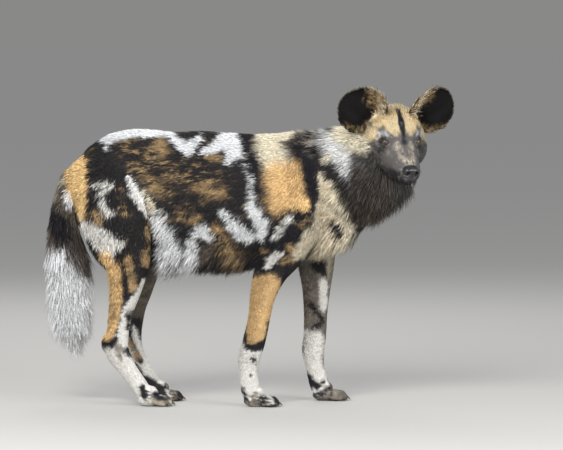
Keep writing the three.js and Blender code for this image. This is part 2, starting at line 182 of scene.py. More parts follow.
class Curve:
    """A smooth centripetal curve through rows of numbers, from 0 to 1."""

    def __init__(self, rows):
        p = np.array(rows, float)
        ends = np.vstack([2 * p[0] - p[1], p, 2 * p[-1] - p[-2]])
        gaps = np.maximum(np.sum(np.diff(ends, axis=0) ** 2, axis=1) ** 0.25, 1e-4)
        p0, p1, p2, p3 = ends[:-3], ends[1:-2], ends[2:-1], ends[3:]
        d0, d1, d2 = gaps[:-2, None], gaps[1:-1, None], gaps[2:, None]
        m1 = ((p1 - p0) / d0 - (p2 - p0) / (d0 + d1) + (p2 - p1) / d1) * d1
        m2 = ((p2 - p1) / d1 - (p3 - p1) / (d1 + d2) + (p3 - p2) / d2) * d1
        self.terms = (p1, m1, -3 * p1 + 3 * p2 - 2 * m1 - m2, 2 * p1 - 2 * p2 + m1 + m2)

    def __call__(self, t):
        count = len(self.terms[0])
        place = np.clip(np.asarray(t, float), 0, 1) * count
        i = np.minimum(place.astype(int), count - 1)
        w = (place - i)[..., None]
        a, b, c, d = (term[i] for term in self.terms)
        return a + w * (b + w * (c + w * d))


class Loft:
    """A body form: sections along a line. Angle 0 is the upper side, a quarter turn is the left."""

    def __init__(self, rows, place=None):
        rows = np.array(rows, float)
        self.line = Curve(rows[:, :3])
        self.reach = Curve(rows[:, 3:])
        self.place = place

    def axes(self, t):
        along = unit(self.line(np.minimum(t + 1e-4, 1)) - self.line(np.maximum(t - 1e-4, 0)))
        up = unit(np.cross(along, (0.0, 1.0, 0.0)))
        return along, up, unit(np.cross(up, along))

    def point(self, t, angle, grow=0.0):
        along, up, side = self.axes(t)
        width, upper, lower = np.moveaxis(self.reach(t), -1, 0)
        rise = np.cos(angle) * np.maximum(np.where(np.cos(angle) > 0, upper, lower) + grow, 1)
        across = np.sin(angle) * np.maximum(width + grow, 1)
        made = self.line(t) + up * rise[..., None] + side * across[..., None]
        return made if self.place is None else moved(made, self.place)

    def skin(self, sides, steps, grow):
        t, angle = np.meshgrid(np.linspace(0, 1, steps), np.arange(sides) * math.tau / sides, indexing="ij")
        return closed_rings(self.point(t, angle, grow))


def turned(vectors, matrix):
    """Directions turned by a matrix, without its shift."""
    return vectors @ np.array(matrix)[:3, :3].T


def moved(points, matrix):
    return turned(points, matrix) + np.array(matrix)[:3, 3]


def closed_rings(rings):
    """Vertices and faces of a closed surface through rings of points."""
    steps, sides, _ = rings.shape
    points = np.concatenate([rings.reshape(-1, 3), rings[:1].mean(axis=1), rings[-1:].mean(axis=1)])
    first, last = steps * sides, steps * sides + 1
    faces = []
    for k in range(sides):
        n = (k + 1) % sides
        faces.append((first, n, k))
        faces.append((last, (steps - 1) * sides + k, (steps - 1) * sides + n))
        for i in range(steps - 1):
            a, b = i * sides, (i + 1) * sides
            faces.append((a + k, a + n, b + n, b + k))
    return points, faces


def sphere_grid(steps, sides, start=0.0):
    """Angles of a sphere's rings: from pole to pole, beginning at start, and round the axis."""
    lift = np.linspace(start, start + math.pi, steps + 2)[1:-1]
    turn = np.arange(sides) * math.tau / sides
    return np.meshgrid(lift, turn, indexing="ij")


def ball(centre, radii, place=None):
    """An ellipsoid as a closed surface."""
    up, around = sphere_grid(18, 28, -math.pi / 2)
    rings = np.stack([np.cos(up) * np.cos(around), np.cos(up) * np.sin(around), np.sin(up)], axis=-1)
    points, faces = closed_rings(rings)
    points = points / np.maximum(np.linalg.norm(points, axis=1, keepdims=True), 1e-6) * radii + centre
    return (points if place is None else moved(points, place)), faces


def noise(points, size, seed):
    """Smooth noise from -1 to 1, with bumps about size apart."""
    p = np.asarray(points, float) / size + seed * 17.31
    cell = np.floor(p).astype(np.int64)
    f = p - cell
    f = f * f * (3 - 2 * f)
    total = np.zeros(len(p))
    for corner in itertools.product((0, 1), repeat=3):
        h = cell + corner
        n = (h[:, 0] * 73856093) ^ (h[:, 1] * 19349663) ^ (h[:, 2] * 83492791) ^ (seed * 2654435)
        n = ((n ^ (n >> 13)) * 1274126177) & 0x7FFFFFFF
        value = n / 0x7FFFFFFF * 2 - 1
        total += value * np.prod(np.where(corner, f, 1 - f), axis=1)
    return total


def smooth(low, high, value):
    """From 0 at low to 1 at high, with soft ends."""
    t = np.clip((value - low) / (high - low), 0, 1)
    return t * t * (3 - 2 * t)


def mixed(under, over, share):
    """One colour over others, by a share for each."""
    return under * (1 - share[:, None]) + over * share[:, None]


HEAD_PLACE = (
    Matrix.Translation(EYE_POINT)
    @ Matrix.Rotation(math.radians(HEAD_YAW), 4, "Z")
    @ Matrix.Rotation(math.radians(HEAD_PITCH), 4, "Y")
)


def eye_place(s):
    """The frame of an eye: X to the temple, Y up and Z out of the pupil."""
    spot = Matrix.Translation((EYE_PLACE[0], s * EYE_PLACE[1], EYE_PLACE[2]))
    out = Matrix.Rotation(s * EYE_TURN, 4, "Z")
    axes = Matrix(((0, 0, 1, 0), (s, 0, 0, 0), (0, 1, 0, 0), (0, 0, 0, 1)))
    return HEAD_PLACE @ spot @ out @ axes


def frame_shift():
    """How far the solids were moved so that they stand over the origin."""
    low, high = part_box("eye_right")
    centre = np.array((low + high) / 2) / MM
    return centre - np.array((HEAD_PLACE @ Vector((EYE_PLACE[0], -EYE_PLACE[1], EYE_PLACE[2]))))


SHIFT = frame_shift()
# Each body form, and how many millimetres the skin lies outside its table
FORMS = {
    "torso": (Loft(TORSO), -6.5),
    "neck": (Loft(NECK), -8),
    "head": (Loft(HEAD, HEAD_PLACE), -2.2),
    "fore_right": (Loft(FORE_RIGHT), -3.5),
    "fore_left": (Loft(FORE_LEFT), -3.5),
    "hind_right": (Loft(HIND_RIGHT), -3.5),
    "hind_left": (Loft(HIND_LEFT), -3.5),
    "tail": (Loft(TAIL), -2),
}
REGIONS = list(FORMS)
# Feet: x and y of the last section, and how far ahead of the pads the toes stand
FEET = [(8, -82, 28), (180, 76, 28), (-256, -70, 26), (-276 + 0.92 * 46, 70, 26)]


def linear(hex_colour):
    """A colour given as #rrggbb, as linear light."""
    v = np.array([int(hex_colour[i : i + 2], 16) for i in (1, 3, 5)]) / 255
    return np.where(v <= 0.04045, v / 12.92, ((v + 0.055) / 1.055) ** 2.4)


BLACK = linear("#232125")
DARK = linear("#2c2a2b")
BROWN = linear("#5f564d")
MASK = linear("#5b5856")
GREY = linear("#8f877c")
TAN = linear("#aa8f68")
ORANGE = linear("#edc68e")
SAND = linear("#c4baa4")
CREAM = linear("#e2d8c0")
BROW = linear("#cfbd98")
WHITE = linear("#e4e5e6")
CHALK = linear("#d9d6d0")

# Marks in side view: colour, softness of the edge, share of the hairs that take it, and a stroke of
# [along, down, reach] points. A later mark lies over an earlier one.
FLANK_MARKS = [
    (TAN, 12, 0.3, [[130, 144, 10], [150, 148, 12]]),
    (TAN, 10, 0.95, [[164, 143, 5], [167, 150, 4]]),
    (TAN, 14, 0.36, [[140, 166, 8], [170, 168, 10], [190, 168, 11], [212, 176, 12]]),
    (TAN, 10, 0.55, [[150, 180, 5], [161, 185, 6], [172, 190, 4]]),
    (TAN, 12, 0.36, [[196, 164, 7], [182, 178, 6], [204, 184, 6]]),
    (TAN, 10, 0.6, [[208, 188, 6], [224, 190, 5]]),
    (TAN, 8, 0.8, [[213, 156, 3], [221, 158, 3]]),
    (TAN, 10, 0.5, [[184, 212, 5], [198, 217, 5]]),
    (TAN, 12, 0.55, [[218, 226, 6], [228, 244, 8], [244, 254, 6]]),
    (BROWN, 10, 0.8, [[212, 246, 5], [204, 252, 5]]),
    (ORANGE * 1.12, 6, 1, [[85, 159, 7], [80, 172, 11], [80, 188, 10], [83, 205, 6], [84, 218, 3]]),
    (WHITE, 4, 1, [[108, 139, 4], [118, 135, 5], [140, 131, 6], [160, 131, 5], [174, 134, 3]]),
    (WHITE, 3, 1, [[112, 140, 3], [110, 148, 2]]),
    (WHITE, 4, 1, [[177, 138, 3], [185, 145, 6], [191, 150, 5], [198, 141, 3], [203, 137, 2]]),
    (WHITE, 4, 1, [[206, 151, 2], [216, 147, 5], [228, 140, 8], [238, 141, 8], [237, 152, 7], [233, 160, 4]]),
    (WHITE, 6, 0.6, [[247, 158, 4], [252, 168, 3.5], [256, 177, 3.5], [251, 189, 3.5], [253, 201, 4]]),
    (WHITE, 4, 1, [[254, 203, 4], [258, 212, 6], [264, 222, 6], [263, 233, 4]]),
    (WHITE, 5, 0.95, [[226, 209, 3], [232, 218, 6], [241, 227, 8], [250, 233, 7]]),
    (WHITE, 4, 1, [[197, 231, 4], [206, 227, 6], [212, 235, 4]]),
    (WHITE, 5, 0.95, [[195, 238, 5], [196, 252, 7], [200, 268, 6]]),
    (WHITE, 3, 1, [[131, 175, 2], [136, 184, 4], [141, 194, 5], [146, 206, 3], [148, 213, 1.5]]),
    (CREAM, 5, 0.8, [[147, 188, 2.5], [153, 200, 5], [161, 214, 7]]),
    (WHITE, 8, 0.85, [[160, 212, 6], [169, 230, 9], [175, 246, 10]]),
    (WHITE, 6, 0.6, [[172, 240, 7], [178, 256, 9], [182, 270, 7]]),
    (BLACK, 5, 1, [[252, 133, 8], [255, 152, 8], [263, 176, 7], [267, 196, 4], [269, 205, 3]]),
    (CREAM, 6, 1, [[268, 136, 8], [285, 134, 9], [300, 131, 5], [312, 132, 3]]),
    (CREAM, 12, 1, [[272, 146, 12], [280, 160, 12]]),
    (ORANGE * 0.88, 14, 1, [[296, 164, 7], [297, 180, 11], [291, 195, 12]]),
    (ORANGE * 0.9, 16, 1, [[281, 172, 12], [283, 188, 13], [279, 200, 9]]),
    (BLACK, 5, 1, [[289, 206, 2], [289, 214, 5]]),
    (ORANGE, 6, 1, [[303, 198, 7], [305, 203, 4]]),
    (BLACK, 6, 1, [[332, 131, 5], [318, 140, 8], [309, 152, 12], [311, 166, 9],
        [312, 180, 7], [312, 190, 5]]),
    (GREY, 10, 0.55, [[322, 132, 6], [314, 144, 8]]),
    (CREAM, 6, 1, [[356, 132, 12], [342, 146, 11], [328, 157, 4]]),
    (WHITE * 0.95 + CREAM * 0.1, 12, 0.9, [[334, 144, 9], [345, 155, 9], [353, 170, 4]]),
    (CREAM, 8, 0.9, [[364, 132, 8], [362, 144, 7]]),
    (MASK, 8, 0.9, [[362, 158, 6], [366, 172, 10], [376, 186, 14]]),
    (DARK, 6, 1, [[321, 163, 2.5], [334, 167, 5], [346, 178, 8], [356, 192, 10]]),
    (BROWN, 10, 1, [[366, 170, 8], [374, 184, 16], [382, 200, 20], [396, 208, 18]]),
    (DARK, 10, 0.6, [[364, 172, 10], [372, 186, 16], [378, 202, 18], [400, 206, 16]]),
    (SAND * 1.15, 6, 1, [[324, 172, 4], [333, 186, 13], [337, 203, 20], [335, 225, 20], [328, 245, 16]]),
    (CREAM, 9, 0.6, [[328, 188, 8], [340, 208, 10], [350, 226, 9]]),
    (CREAM, 8, 0.7, [[318, 230, 6], [306, 246, 6], [340, 240, 10]]),
    (TAN * 0.8, 10, 0.34, [[328, 188, 8], [334, 210, 13], [326, 240, 12]]),
    (BLACK, 4, 1, [[334, 221, 3], [341, 229, 3.5]]),
    (BLACK, 4, 1, [[318, 241, 3], [311, 248, 3.5]]),
]
ARM_MARKS = [
    (BLACK, 5, 1, [[296, 214, 11], [290, 228, 15], [281, 245, 16], [267, 256, 12]]),
    (ORANGE, 5, 1, [[303, 196, 8], [305, 203, 4]]),
    (ORANGE, 5, 1, [[284, 196, 12], [279, 206, 6]]),
    (TAN, 6, 0.35, [[304, 216, 5], [312, 224, 5]]),
    (CHALK, 3, 1, [[291, 214, 4], [284, 222, 5], [278, 231, 4]]),
    (CHALK, 3, 1, [[281, 249, 3.5], [276, 256, 4], [270, 261, 3]]),
    (TAN, 5, 0.5, [[292, 242, 4], [297, 246, 3]]),
    (TAN, 5, 0.55, [[284, 258, 4], [294, 256, 4]]),
    (TAN, 5, 0.6, [[262, 243, 5], [268, 246, 3]]),
    (SAND, 6, 0.8, [[311, 228, 5], [306, 240, 6], [300, 252, 5]]),
    (ORANGE * 0.68, 5, 1, [[265, 286, 18], [262, 298, 17], [259, 315, 15], [257, 330, 10]]),
    (ORANGE * 0.8, 8, 0.4, [[264, 284, 10], [260, 300, 9], [258, 325, 7]]),
    (BLACK, 3, 1, [[288, 262, 3], [282, 286, 2], [275, 305, 2]]),
    (BLACK, 3, 1, [[270, 322, 3], [267, 337, 4], [257, 344, 3], [247, 343, 3]]),
    (CHALK, 3, 1, [[241, 326, 2], [240, 345, 6], [252, 360, 16], [250, 384, 17], [256, 400, 17]]),
    (BLACK, 3, 1, [[269, 332, 3], [265, 341, 3.5], [257, 345, 3], [249, 344, 2.5]]),
    (BLACK, 2, 1, [[252.5, 356, 3.2]]),
    (BLACK, 2, 0.9, [[250, 372, 1.5]]),
    (BLACK, 4, 0.85, [[241, 388, 5], [246, 397, 5]]),
    (GREY * 0.6, 5, 0.75, [[256, 396, 6], [267, 401, 6], [275, 404, 4]]),
    (BLACK, 4, 0.6, [[262, 396, 4], [272, 400, 4]]),
    (SAND * 0.8, 4, 0.6, [[246, 402, 4], [252, 405, 3]]),
]
FAR_ARM_MARKS = [
    (SAND, 8, 0.8, [[312, 240, 10], [330, 246, 12], [330, 268, 8]]),
    (BLACK, 6, 0.85, [[322, 264, 6], [330, 270, 6]]),
    (BROWN, 6, 0.8, [[300, 255, 6], [304, 272, 6]]),
    (GREY, 6, 0.9, [[310, 282, 8], [309, 310, 9], [309, 330, 6]]),
    (BROWN, 8, 0.5, [[310, 282, 8], [309, 310, 8], [308, 330, 5]]),
    (CHALK, 5, 1, [[330, 282, 7], [330, 306, 6]]),
    (CHALK, 4, 1, [[312, 346, 14], [318, 354, 16], [316, 370, 17], [318, 390, 17]]),
    (BLACK, 3, 1, [[315, 304, 2.5], [324, 315, 3], [328, 326, 3.5], [320, 330, 2]]),
    (GREY, 5, 0.5, [[308, 344, 6], [308, 356, 5]]),
    (BLACK, 4, 0.9, [[313, 384, 4], [319, 391, 5]]),
    (BLACK, 3, 0.9, [[326, 388, 3]]),
    (GREY, 5, 0.8, [[330, 399, 6], [342, 402, 6]]),
    (BLACK, 4, 0.6, [[336, 398, 4], [322, 402, 4]]),
]
THIGH_MARKS = [
    (TAN, 10, 0.02, [[95, 185, 14], [110, 200, 22], [128, 230, 24], [135, 262, 14]]),
    (TAN, 9, 0.3, [[124, 190, 3], [128, 206, 5]]),
    (TAN, 9, 0.25, [[126, 232, 4], [132, 244, 4]]),
    (TAN, 6, 0.7, [[99, 206, 4], [103, 214, 3]]),
    (ORANGE * 1.12, 6, 1, [[84, 164, 7], [80, 176, 10], [80, 190, 9], [84, 205, 6], [86, 218, 3]]),
    (CHALK, 3, 1, [[102, 181, 3.5], [113, 180, 3.5], [106, 187, 3.5],
        [105, 196, 3.5], [109, 204, 3], [116, 208, 2]]),
    (CHALK, 3, 1, [[66, 190, 3], [74, 205, 5], [86, 218, 7], [100, 225, 8], [110, 232, 7], [121, 239, 5]]),
    (CHALK, 3, 1, [[106, 236, 6], [112, 248, 4], [118, 264, 2.5]]),
    (CHALK, 3, 1, [[131, 175, 2], [136, 184, 4], [141, 194, 5], [146, 206, 3], [148, 213, 1.5]]),
    (TAN, 3, 0.6, [[150, 212, 2], [152, 235, 2], [150, 262, 2]]),
    (ORANGE, 5, 1, [[106, 246, 4], [113, 260, 8], [116, 282, 9], [114, 305, 9],
        [111, 322, 9], [107, 333, 7]]),
    (TAN, 8, 0.5, [[116, 282, 8], [114, 305, 8], [112, 330, 6]]),
    (TAN, 5, 0.9, [[128, 254, 3], [132, 268, 4], [135, 284, 7]]),
    (TAN, 5, 0.8, [[146, 250, 3], [147, 260, 3]]),
    (BLACK, 4, 0.9, [[146, 268, 5], [144, 284, 3.5], [135, 295, 3], [127, 292, 2.5], [126, 276, 2.5]]),
    (BLACK, 4, 0.7, [[134, 272, 4], [140, 280, 3]]),
    (CHALK, 3, 1, [[146, 279, 3], [140, 296, 5], [131, 306, 6], [127, 322, 7], [124, 336, 8]]),
    (CHALK, 4, 1, [[109, 347, 6], [122, 364, 14], [134, 378, 16], [150, 396, 16]]),
    (BLACK, 4, 0.8, [[131, 312, 3.5], [130, 326, 3]]),
    (BLACK, 3, 1, [[106, 339, 3], [112, 341, 3], [118, 336, 2]]),
    (GREY, 3, 0.8, [[119, 343, 2], [121, 354, 2]]),
    (BLACK, 3, 0.9, [[143, 386, 4], [146, 394, 4]]),
    (GREY * 0.6, 4, 0.8, [[158, 396, 5], [170, 401, 5]]),
    (BLACK, 4, 0.6, [[156, 393, 4], [166, 398, 4]]),
    (SAND * 0.8, 4, 0.55, [[150, 402, 4], [174, 402, 4]]),
]
FAR_THIGH_MARKS = [
    (TAN, 10, 0.1, [[110, 200, 22], [128, 230, 24]]),
    (GREY, 8, 0.7, [[160, 262, 8], [154, 285, 10], [148, 306, 9]]),
    (BROWN, 8, 0.9, [[158, 252, 14], [154, 285, 14], [146, 314, 12]]),
    (GREY * 0.6, 10, 0.45, [[152, 262, 10], [148, 300, 9]]),
    (BLACK, 4, 0.8, [[148, 325, 4], [142, 322, 3]]),
    (CHALK, 4, 1, [[140, 340, 9], [150, 360, 9], [166, 384, 10], [176, 396, 9]]),
    (BLACK, 3, 0.85, [[136, 333, 3], [141, 346, 3.5], [146, 360, 3]]),
    (TAN, 4, 0.6, [[138, 344, 3], [144, 356, 3]]),
    (BROWN, 4, 0.7, [[170, 392, 5], [182, 400, 5]]),
    (BLACK, 4, 0.6, [[176, 392, 4], [162, 396, 4]]),
]
TAIL_MARKS = [
    (ORANGE, 6, 1, [[88, 168, 9], [78, 178, 8]]),
    (SAND, 5, 0.8, [[66, 176, 3], [58, 196, 3]]),
    (BROWN, 5, 0.9, [[68, 190, 9], [62, 204, 8]]),
    (WHITE, 4, 0.9, [[74, 182, 2.5], [68, 192, 3], [72, 202, 3]]),
    (BLACK, 6, 0.95, [[54, 212, 8], [62, 222, 9], [72, 230, 8]]),
    (WHITE, 8, 1, [[56, 246, 14], [62, 270, 22], [66, 300, 30], [78, 350, 20]]),
    (BROWN, 8, 0.8, [[72, 232, 7], [84, 246, 6], [91, 262, 5]]),
    (BLACK, 8, 0.5, [[72, 232, 6], [84, 246, 5]]),
]
# Marks on the head in its own frame, in millimetres: x out of the muzzle, y to a side, z up, reach
FACE_MARKS = [
    (BROW, 16, 1, [[-80, 0, 60, 66], [-20, 0, 52, 42]]),
    (BROW, 12, 1, [[-12, 18, 38, 24], [8, 10, 26, 13]]),
    (BROW, 10, 1, [[0, 28, 30, 13], [14, 18, 22, 9]]),
    (BROW, 14, 1, [[-70, 78, -6, 30], [-40, 80, -4, 26], [-14, 66, 12, 16]]),
    (BROW, 12, 1, [[-50, 48, 40, 22], [-24, 48, 34, 16]]),
    (ORANGE, 8, 0.3, [[-30, 20, 60, 14], [-20, 44, 36, 14]]),
    (BROWN, 14, 0.9, [[-70, 66, -62, 34]]),
    (MASK, 12, 1, [[-14, 62, -40, 18], [-44, 76, -54, 20]]),
    (WHITE, 9, 0.6, [[-2, 52, 15, 5], [6, 40, 20, 6], [14, 28, 18, 5]]),
    (CREAM, 10, 0.8, [[-62, 92, -20, 14], [-54, 90, -56, 12]]),
    (DARK, 10, 0.7, [[20, 44, -14, 12], [4, 56, -24, 12]]),
    (DARK, 10, 1, [[60, 34, -58, 14], [92, 24, -54, 18]]),
    (BLACK, 8, 0.95, [[60, 16, -78, 20], [92, 8, -80, 18]]),
    (GREY, 9, 0.6, [[40, 16, -2, 10], [70, 14, -8, 10], [90, 8, -16, 8]]),
    (BLACK, 5, 1, [[-72, 0, 76, 4], [-34, 0, 72, 6], [-8, 0, 60, 8], [8, 0, 46, 8], [22, 0, 30, 7]]),
    (BLACK, 5, 1, [[-34, 0, 62, 5], [-10, 0, 48, 8], [4, 0, 36, 8],
        [18, 0, 22, 8], [28, 0, 12, 8], [38, 0, 2, 5]]),
    (SAND, 12, 0.3, [[32, 19, 6, 5], [50, 19, -4, 5]]),
    (SAND, 8, 0.5, [[84, 12, -13, 5], [93, 6, -14, 4]]),
    (BLACK, 8, 1, [[86, 16, -62, 19], [98, 0, -62, 15]]),
    (GREY, 8, 0.5, [[88, 0, -86, 7], [78, 12, -86, 5]]),
    (BLACK, 6, 1, [[10, 41, 3, 15]]),
    (BLACK, 4, 0.95, [[22, 31, -4, 4], [29, 27, -10, 3]]),
]


def along_down(points):
    """Side view of points in millimetres, in the steps of the marks."""
    return np.stack([points[:, 0] / STEP + ORIGIN[0], ORIGIN[1] - points[:, 2] / STEP], axis=1)


def stroke_depth(points, stroke):
    """How far points lie inside a stroke with round ends, along the stroke's reach."""
    rows = np.array(stroke, float)
    if len(rows) == 1:
        rows = np.vstack([rows, rows + np.eye(1, rows.shape[1]) * 1e-3])
    deepest = np.full(len(points), -1e9)
    for a, b in zip(rows[:-1], rows[1:]):
        line = b[:-1] - a[:-1]
        share = np.clip((points - a[:-1]) @ line / max(line @ line, 1e-9), 0, 1)
        gap = np.linalg.norm(points - a[:-1] - share[:, None] * line, axis=1)
        deepest = np.maximum(deepest, a[-1] + (b[-1] - a[-1]) * share - gap)
    return deepest


def painted(base, places, marks, warp, fleck):
    """Marks laid over a base colour. A mark with a share below 1 colours only that share of the hairs."""
    colour = np.tile(base, (len(places), 1))
    for ink, softness, share, stroke in marks:
        cover = smooth(-softness / 2, softness / 2, stroke_depth(places, stroke) + warp)
        if share < 1:
            cover *= smooth(1 - share - 0.22, 1 - share + 0.22, fleck)
        colour = mixed(colour, ink, cover)
    return colour


# Stretches noise along the hair, which lies backwards and a little down
LIE_OF_HAIR = np.array([[0.3, 0, 0.06], [0, 0.8, 0], [-0.15, 0, 1.0]])


def coat_colour(points, region):
    """The coat's colour at points in millimetres, before the shift, each in its region."""
    colour = np.tile(DARK, (len(points), 1))
    along_hair = points @ LIE_OF_HAIR
    fleck = 0.5 + 0.3 * noise(along_hair, 12, 41) + 0.3 * noise(along_hair, 5.5, 42)
    fleck = fleck + 0.34 * noise(along_hair, 2.6, 45)
    wave = 1.2 * noise(points, 16, 3) + 1.8 * noise(along_hair, 5, 4) + 1.8 * noise(along_hair, 2.6, 7)
    places = along_down(points)
    far = np.clip(points[:, 1] / 60, 0, 1)  # the far side has the same marks, moved and bent low on the body
    low = smooth(136, 190, places[:, 1])
    places[:, 0] += far * low * (9 * noise(points, 70, 11) + 8)
    places[:, 1] += far * low * 9 * noise(points, 60, 12)
    places[:, 0] += 1.5 * noise(points, 24, 5)
    places[:, 1] += 1.5 * noise(points, 24, 6)
    sets = {
        "torso": (DARK, FLANK_MARKS),
        "neck": (MASK * 0.5, FLANK_MARKS),
        "fore_right": (DARK, FLANK_MARKS + ARM_MARKS),
        "fore_left": (GREY * 0.6, FAR_ARM_MARKS),
        "hind_right": (DARK, THIGH_MARKS),
        "hind_left": (DARK, FAR_THIGH_MARKS),
        "tail": (BROWN, TAIL_MARKS),
    }
    for name, (base, marks) in sets.items():
        here = region == REGIONS.index(name)
        if here.any():
            colour[here] = painted(base, places[here], marks, wave[here], fleck[here])
    here = region == REGIONS.index("head")
    if here.any():
        local = moved(points[here], HEAD_PLACE.inverted())
        local[:, 1] = np.abs(local[:, 1])
        grain = 0.5 + 0.4 * noise(local, 5, 43) + 0.45 * noise(local, 2.4, 44)
        edge = 1.8 * noise(local, 13, 8) + 1.6 * noise(local, 4, 9)
        colour[here] = painted(MASK, local, FACE_MARKS, edge, grain)
        pale_hairs = smooth(0.7, 1.0, grain) * smooth(0.3, 0.12, colour[here].mean(axis=1)) * 0.5
        colour[here] = mixed(colour[here], GREY * 1.2, pale_hairs)
    trunk = region < REGIONS.index("head")
    dark_ground = smooth(0.12, 0.03, colour.mean(axis=1))
    colour = mixed(colour, TAN, smooth(0.72, 1.05, fleck) * trunk * 0.4 * dark_ground)
    speck = noise(points, 5, 21) * 0.5 + noise(points, 30, 22) * 0.5
    return colour * (1 + 0.14 * speck[:, None])


def new_mesh(name, points, faces):
    """An object from points in millimetres, moved to where the solids stand."""
    mesh = bpy.data.meshes.new(name)
    mesh.from_pydata(((np.asarray(points) + SHIFT) * MM).tolist(), [], faces)
    mesh.update()
    made = bpy.data.objects.new(name, mesh)
    bpy.context.scene.collection.objects.link(made)
    return made


def joined(parts):
    """Several surfaces as one."""
    points, faces, start = [], [], 0
    for part_points, part_faces in parts:
        points.append(part_points)
        faces.extend(tuple(i + start for i in face) for face in part_faces)
        start += len(part_points)
    return np.concatenate(points), faces


def active(made):
    bpy.ops.object.select_all(action="DESELECT")
    made.select_set(True)
    bpy.context.view_layer.objects.active = made


def unwrapped(made, outward=False):
    """Lays out the map for baking, after turning the faces outward where that is asked."""
    active(made)
    bpy.ops.object.mode_set(mode="EDIT")
    bpy.ops.mesh.select_all(action="SELECT")
    if outward:
        bpy.ops.mesh.normals_make_consistent(inside=False)
    bpy.ops.uv.smart_project(angle_limit=math.radians(70), island_margin=0.002)
    bpy.ops.object.mode_set(mode="OBJECT")
    made.data.uv_layers[0].name = "OFBake"
    made.data.shade_smooth()


def applied(made, kind, **settings):
    step = made.modifiers.new(kind.title(), kind)
    for key, value in settings.items():
        setattr(step, key, value)
    active(made)
    bpy.ops.object.modifier_apply(modifier=step.name)


def coordinates(made):
    """Vertex places in millimetres, before the shift."""
    co = np.zeros(len(made.data.vertices) * 3, np.float32)
    made.data.vertices.foreach_get("co", co)
    return co.reshape(-1, 3).astype(float) / MM - SHIFT


def set_coordinates(made, points):
    made.data.vertices.foreach_set("co", ((points + SHIFT) * MM).astype(np.float32).ravel())
    made.data.update()


def edge_list(made):
    edges = np.zeros(len(made.data.edges) * 2, np.int32)
    made.data.edges.foreach_get("vertices", edges)
    return edges.reshape(-1, 2)


def relaxed(values, edges, rounds, share=0.5):
    """Values at vertices, averaged with those of their neighbours."""
    count = np.bincount(edges.ravel(), minlength=len(values)).astype(float)[:, None]
    share = np.broadcast_to(np.asarray(share, float).reshape(-1, 1), (len(values), 1))
    for _ in range(rounds):
        total = np.zeros_like(values)
        for axis in range(values.shape[1]):
            total[:, axis] = np.bincount(edges[:, 0], values[edges[:, 1], axis], len(values))
            total[:, axis] += np.bincount(edges[:, 1], values[edges[:, 0], axis], len(values))
        values = values * (1 - share) + share * total / np.maximum(count, 1)
    return values


def set_colours(made, colours):
    layer = made.data.color_attributes.new("coat", "FLOAT_COLOR", "POINT")
    full = np.ones((len(colours), 4), np.float32)
    full[:, :3] = np.clip(colours, 0.002, 1)
    layer.data.foreach_set("color", full.ravel())


def nearest_region(points):
    """For each point the body form that it belongs to, its place along the form, and its angle."""
    best = np.full(len(points), 1e9)
    region = np.zeros(len(points), int)
    place = np.zeros(len(points))
    angle = np.zeros(len(points))
    steps = np.linspace(0, 1, 56)
    for index, name in enumerate(REGIONS):
        loft = FORMS[name][0]
        line = loft.line(steps)
        along, up, side = loft.axes(steps)
        if loft.place is not None:
            line = moved(line, loft.place)
            along, up, side = (turned(axis, loft.place) for axis in (along, up, side))
        reach = loft.reach(steps)
        score = np.full(len(points), 1e9)
        for i in range(len(steps)):
            rel = points - line[i]
            a, b, c = rel @ side[i], rel @ up[i], rel @ along[i]
            tall = np.where(b > 0, reach[i, 1], reach[i, 2])
            here = np.sqrt((a / reach[i, 0]) ** 2 + (b / tall) ** 2 + (c / 14) ** 2)
            closer = here < score
            score = np.where(closer, here, score)
            turn_angle = np.arctan2(a / reach[i, 0], b / tall)
            better = closer & (here < best)
            region[better] = index
            place[better] = steps[i]
            angle[better] = turn_angle[better]
        best = np.minimum(best, score)
    foot = points[:, 2] < FOOT_HEIGHT
    paw_middle = 30
    gaps = np.stack([np.hypot(points[:, 0] - x - paw_middle, points[:, 1] - y) for x, y, _ in FEET])
    region[foot] = REGIONS.index("fore_right") + np.argmin(gaps, axis=0)[foot]
    place[foot] = 1.0
    return region, place, angle


def toes(x, y, reach):
    """Middles of the four toes of one foot. The inner two stand further ahead."""
    for n in (-1.5, -0.5, 0.5, 1.5):
        yield x + TOE_START + reach + (9 if abs(n) < 1 else 0), y + n * 14.5


def paw_parts(x, y, reach):
    """Pads, knuckles and toes of one foot."""
    pads = x + TOE_START
    parts = [ball((pads - 2, y, 16), (31, 23, 17)), ball((pads - 6, y, 30), (25, 20, 22))]
    for toe_x, toe_y in toes(x, y, reach):
        parts.append(ball((toe_x - 3, toe_y, 15), (19, 7.4, 12)))
        parts.append(ball((toe_x + 8, toe_y, 9.5), (12, 6.8, 9)))
    return parts


# Brows, cheeks, jaws, lips, sides of the muzzle and roots of the ears: centre and radii in the head's frame
HEAD_PAIRS = [
    [(2, 36, 14), (17, 17, 8.5)],
    [(-34, 51, -38), (43, 35, 45)],
    [(-26, 40, -64), (38, 30, 34)],
    [(86, 15, -50), (21, 15, 15)],
    [(30, 24, -28), (34, 17, 18)],
    [(-58, 42, 34), (18, 22, 22)],
]
# Chin and bridge of the nose
HEAD_MIDDLE = [[(76, 0, -73), (23, 18, 12)], [(58, 0, -22), (46, 12, 14)]]
# Elbows and hocks, on the axes of the body
LEG_JOINTS = [
    [(52, -76, 394), (20, 18, 26)],
    [(120, 70, 394), (20, 18, 26)],
    [(-352, -70, 158), (14, 12, 24)],
    [(-322, 70, 158), (14, 12, 24)],
]


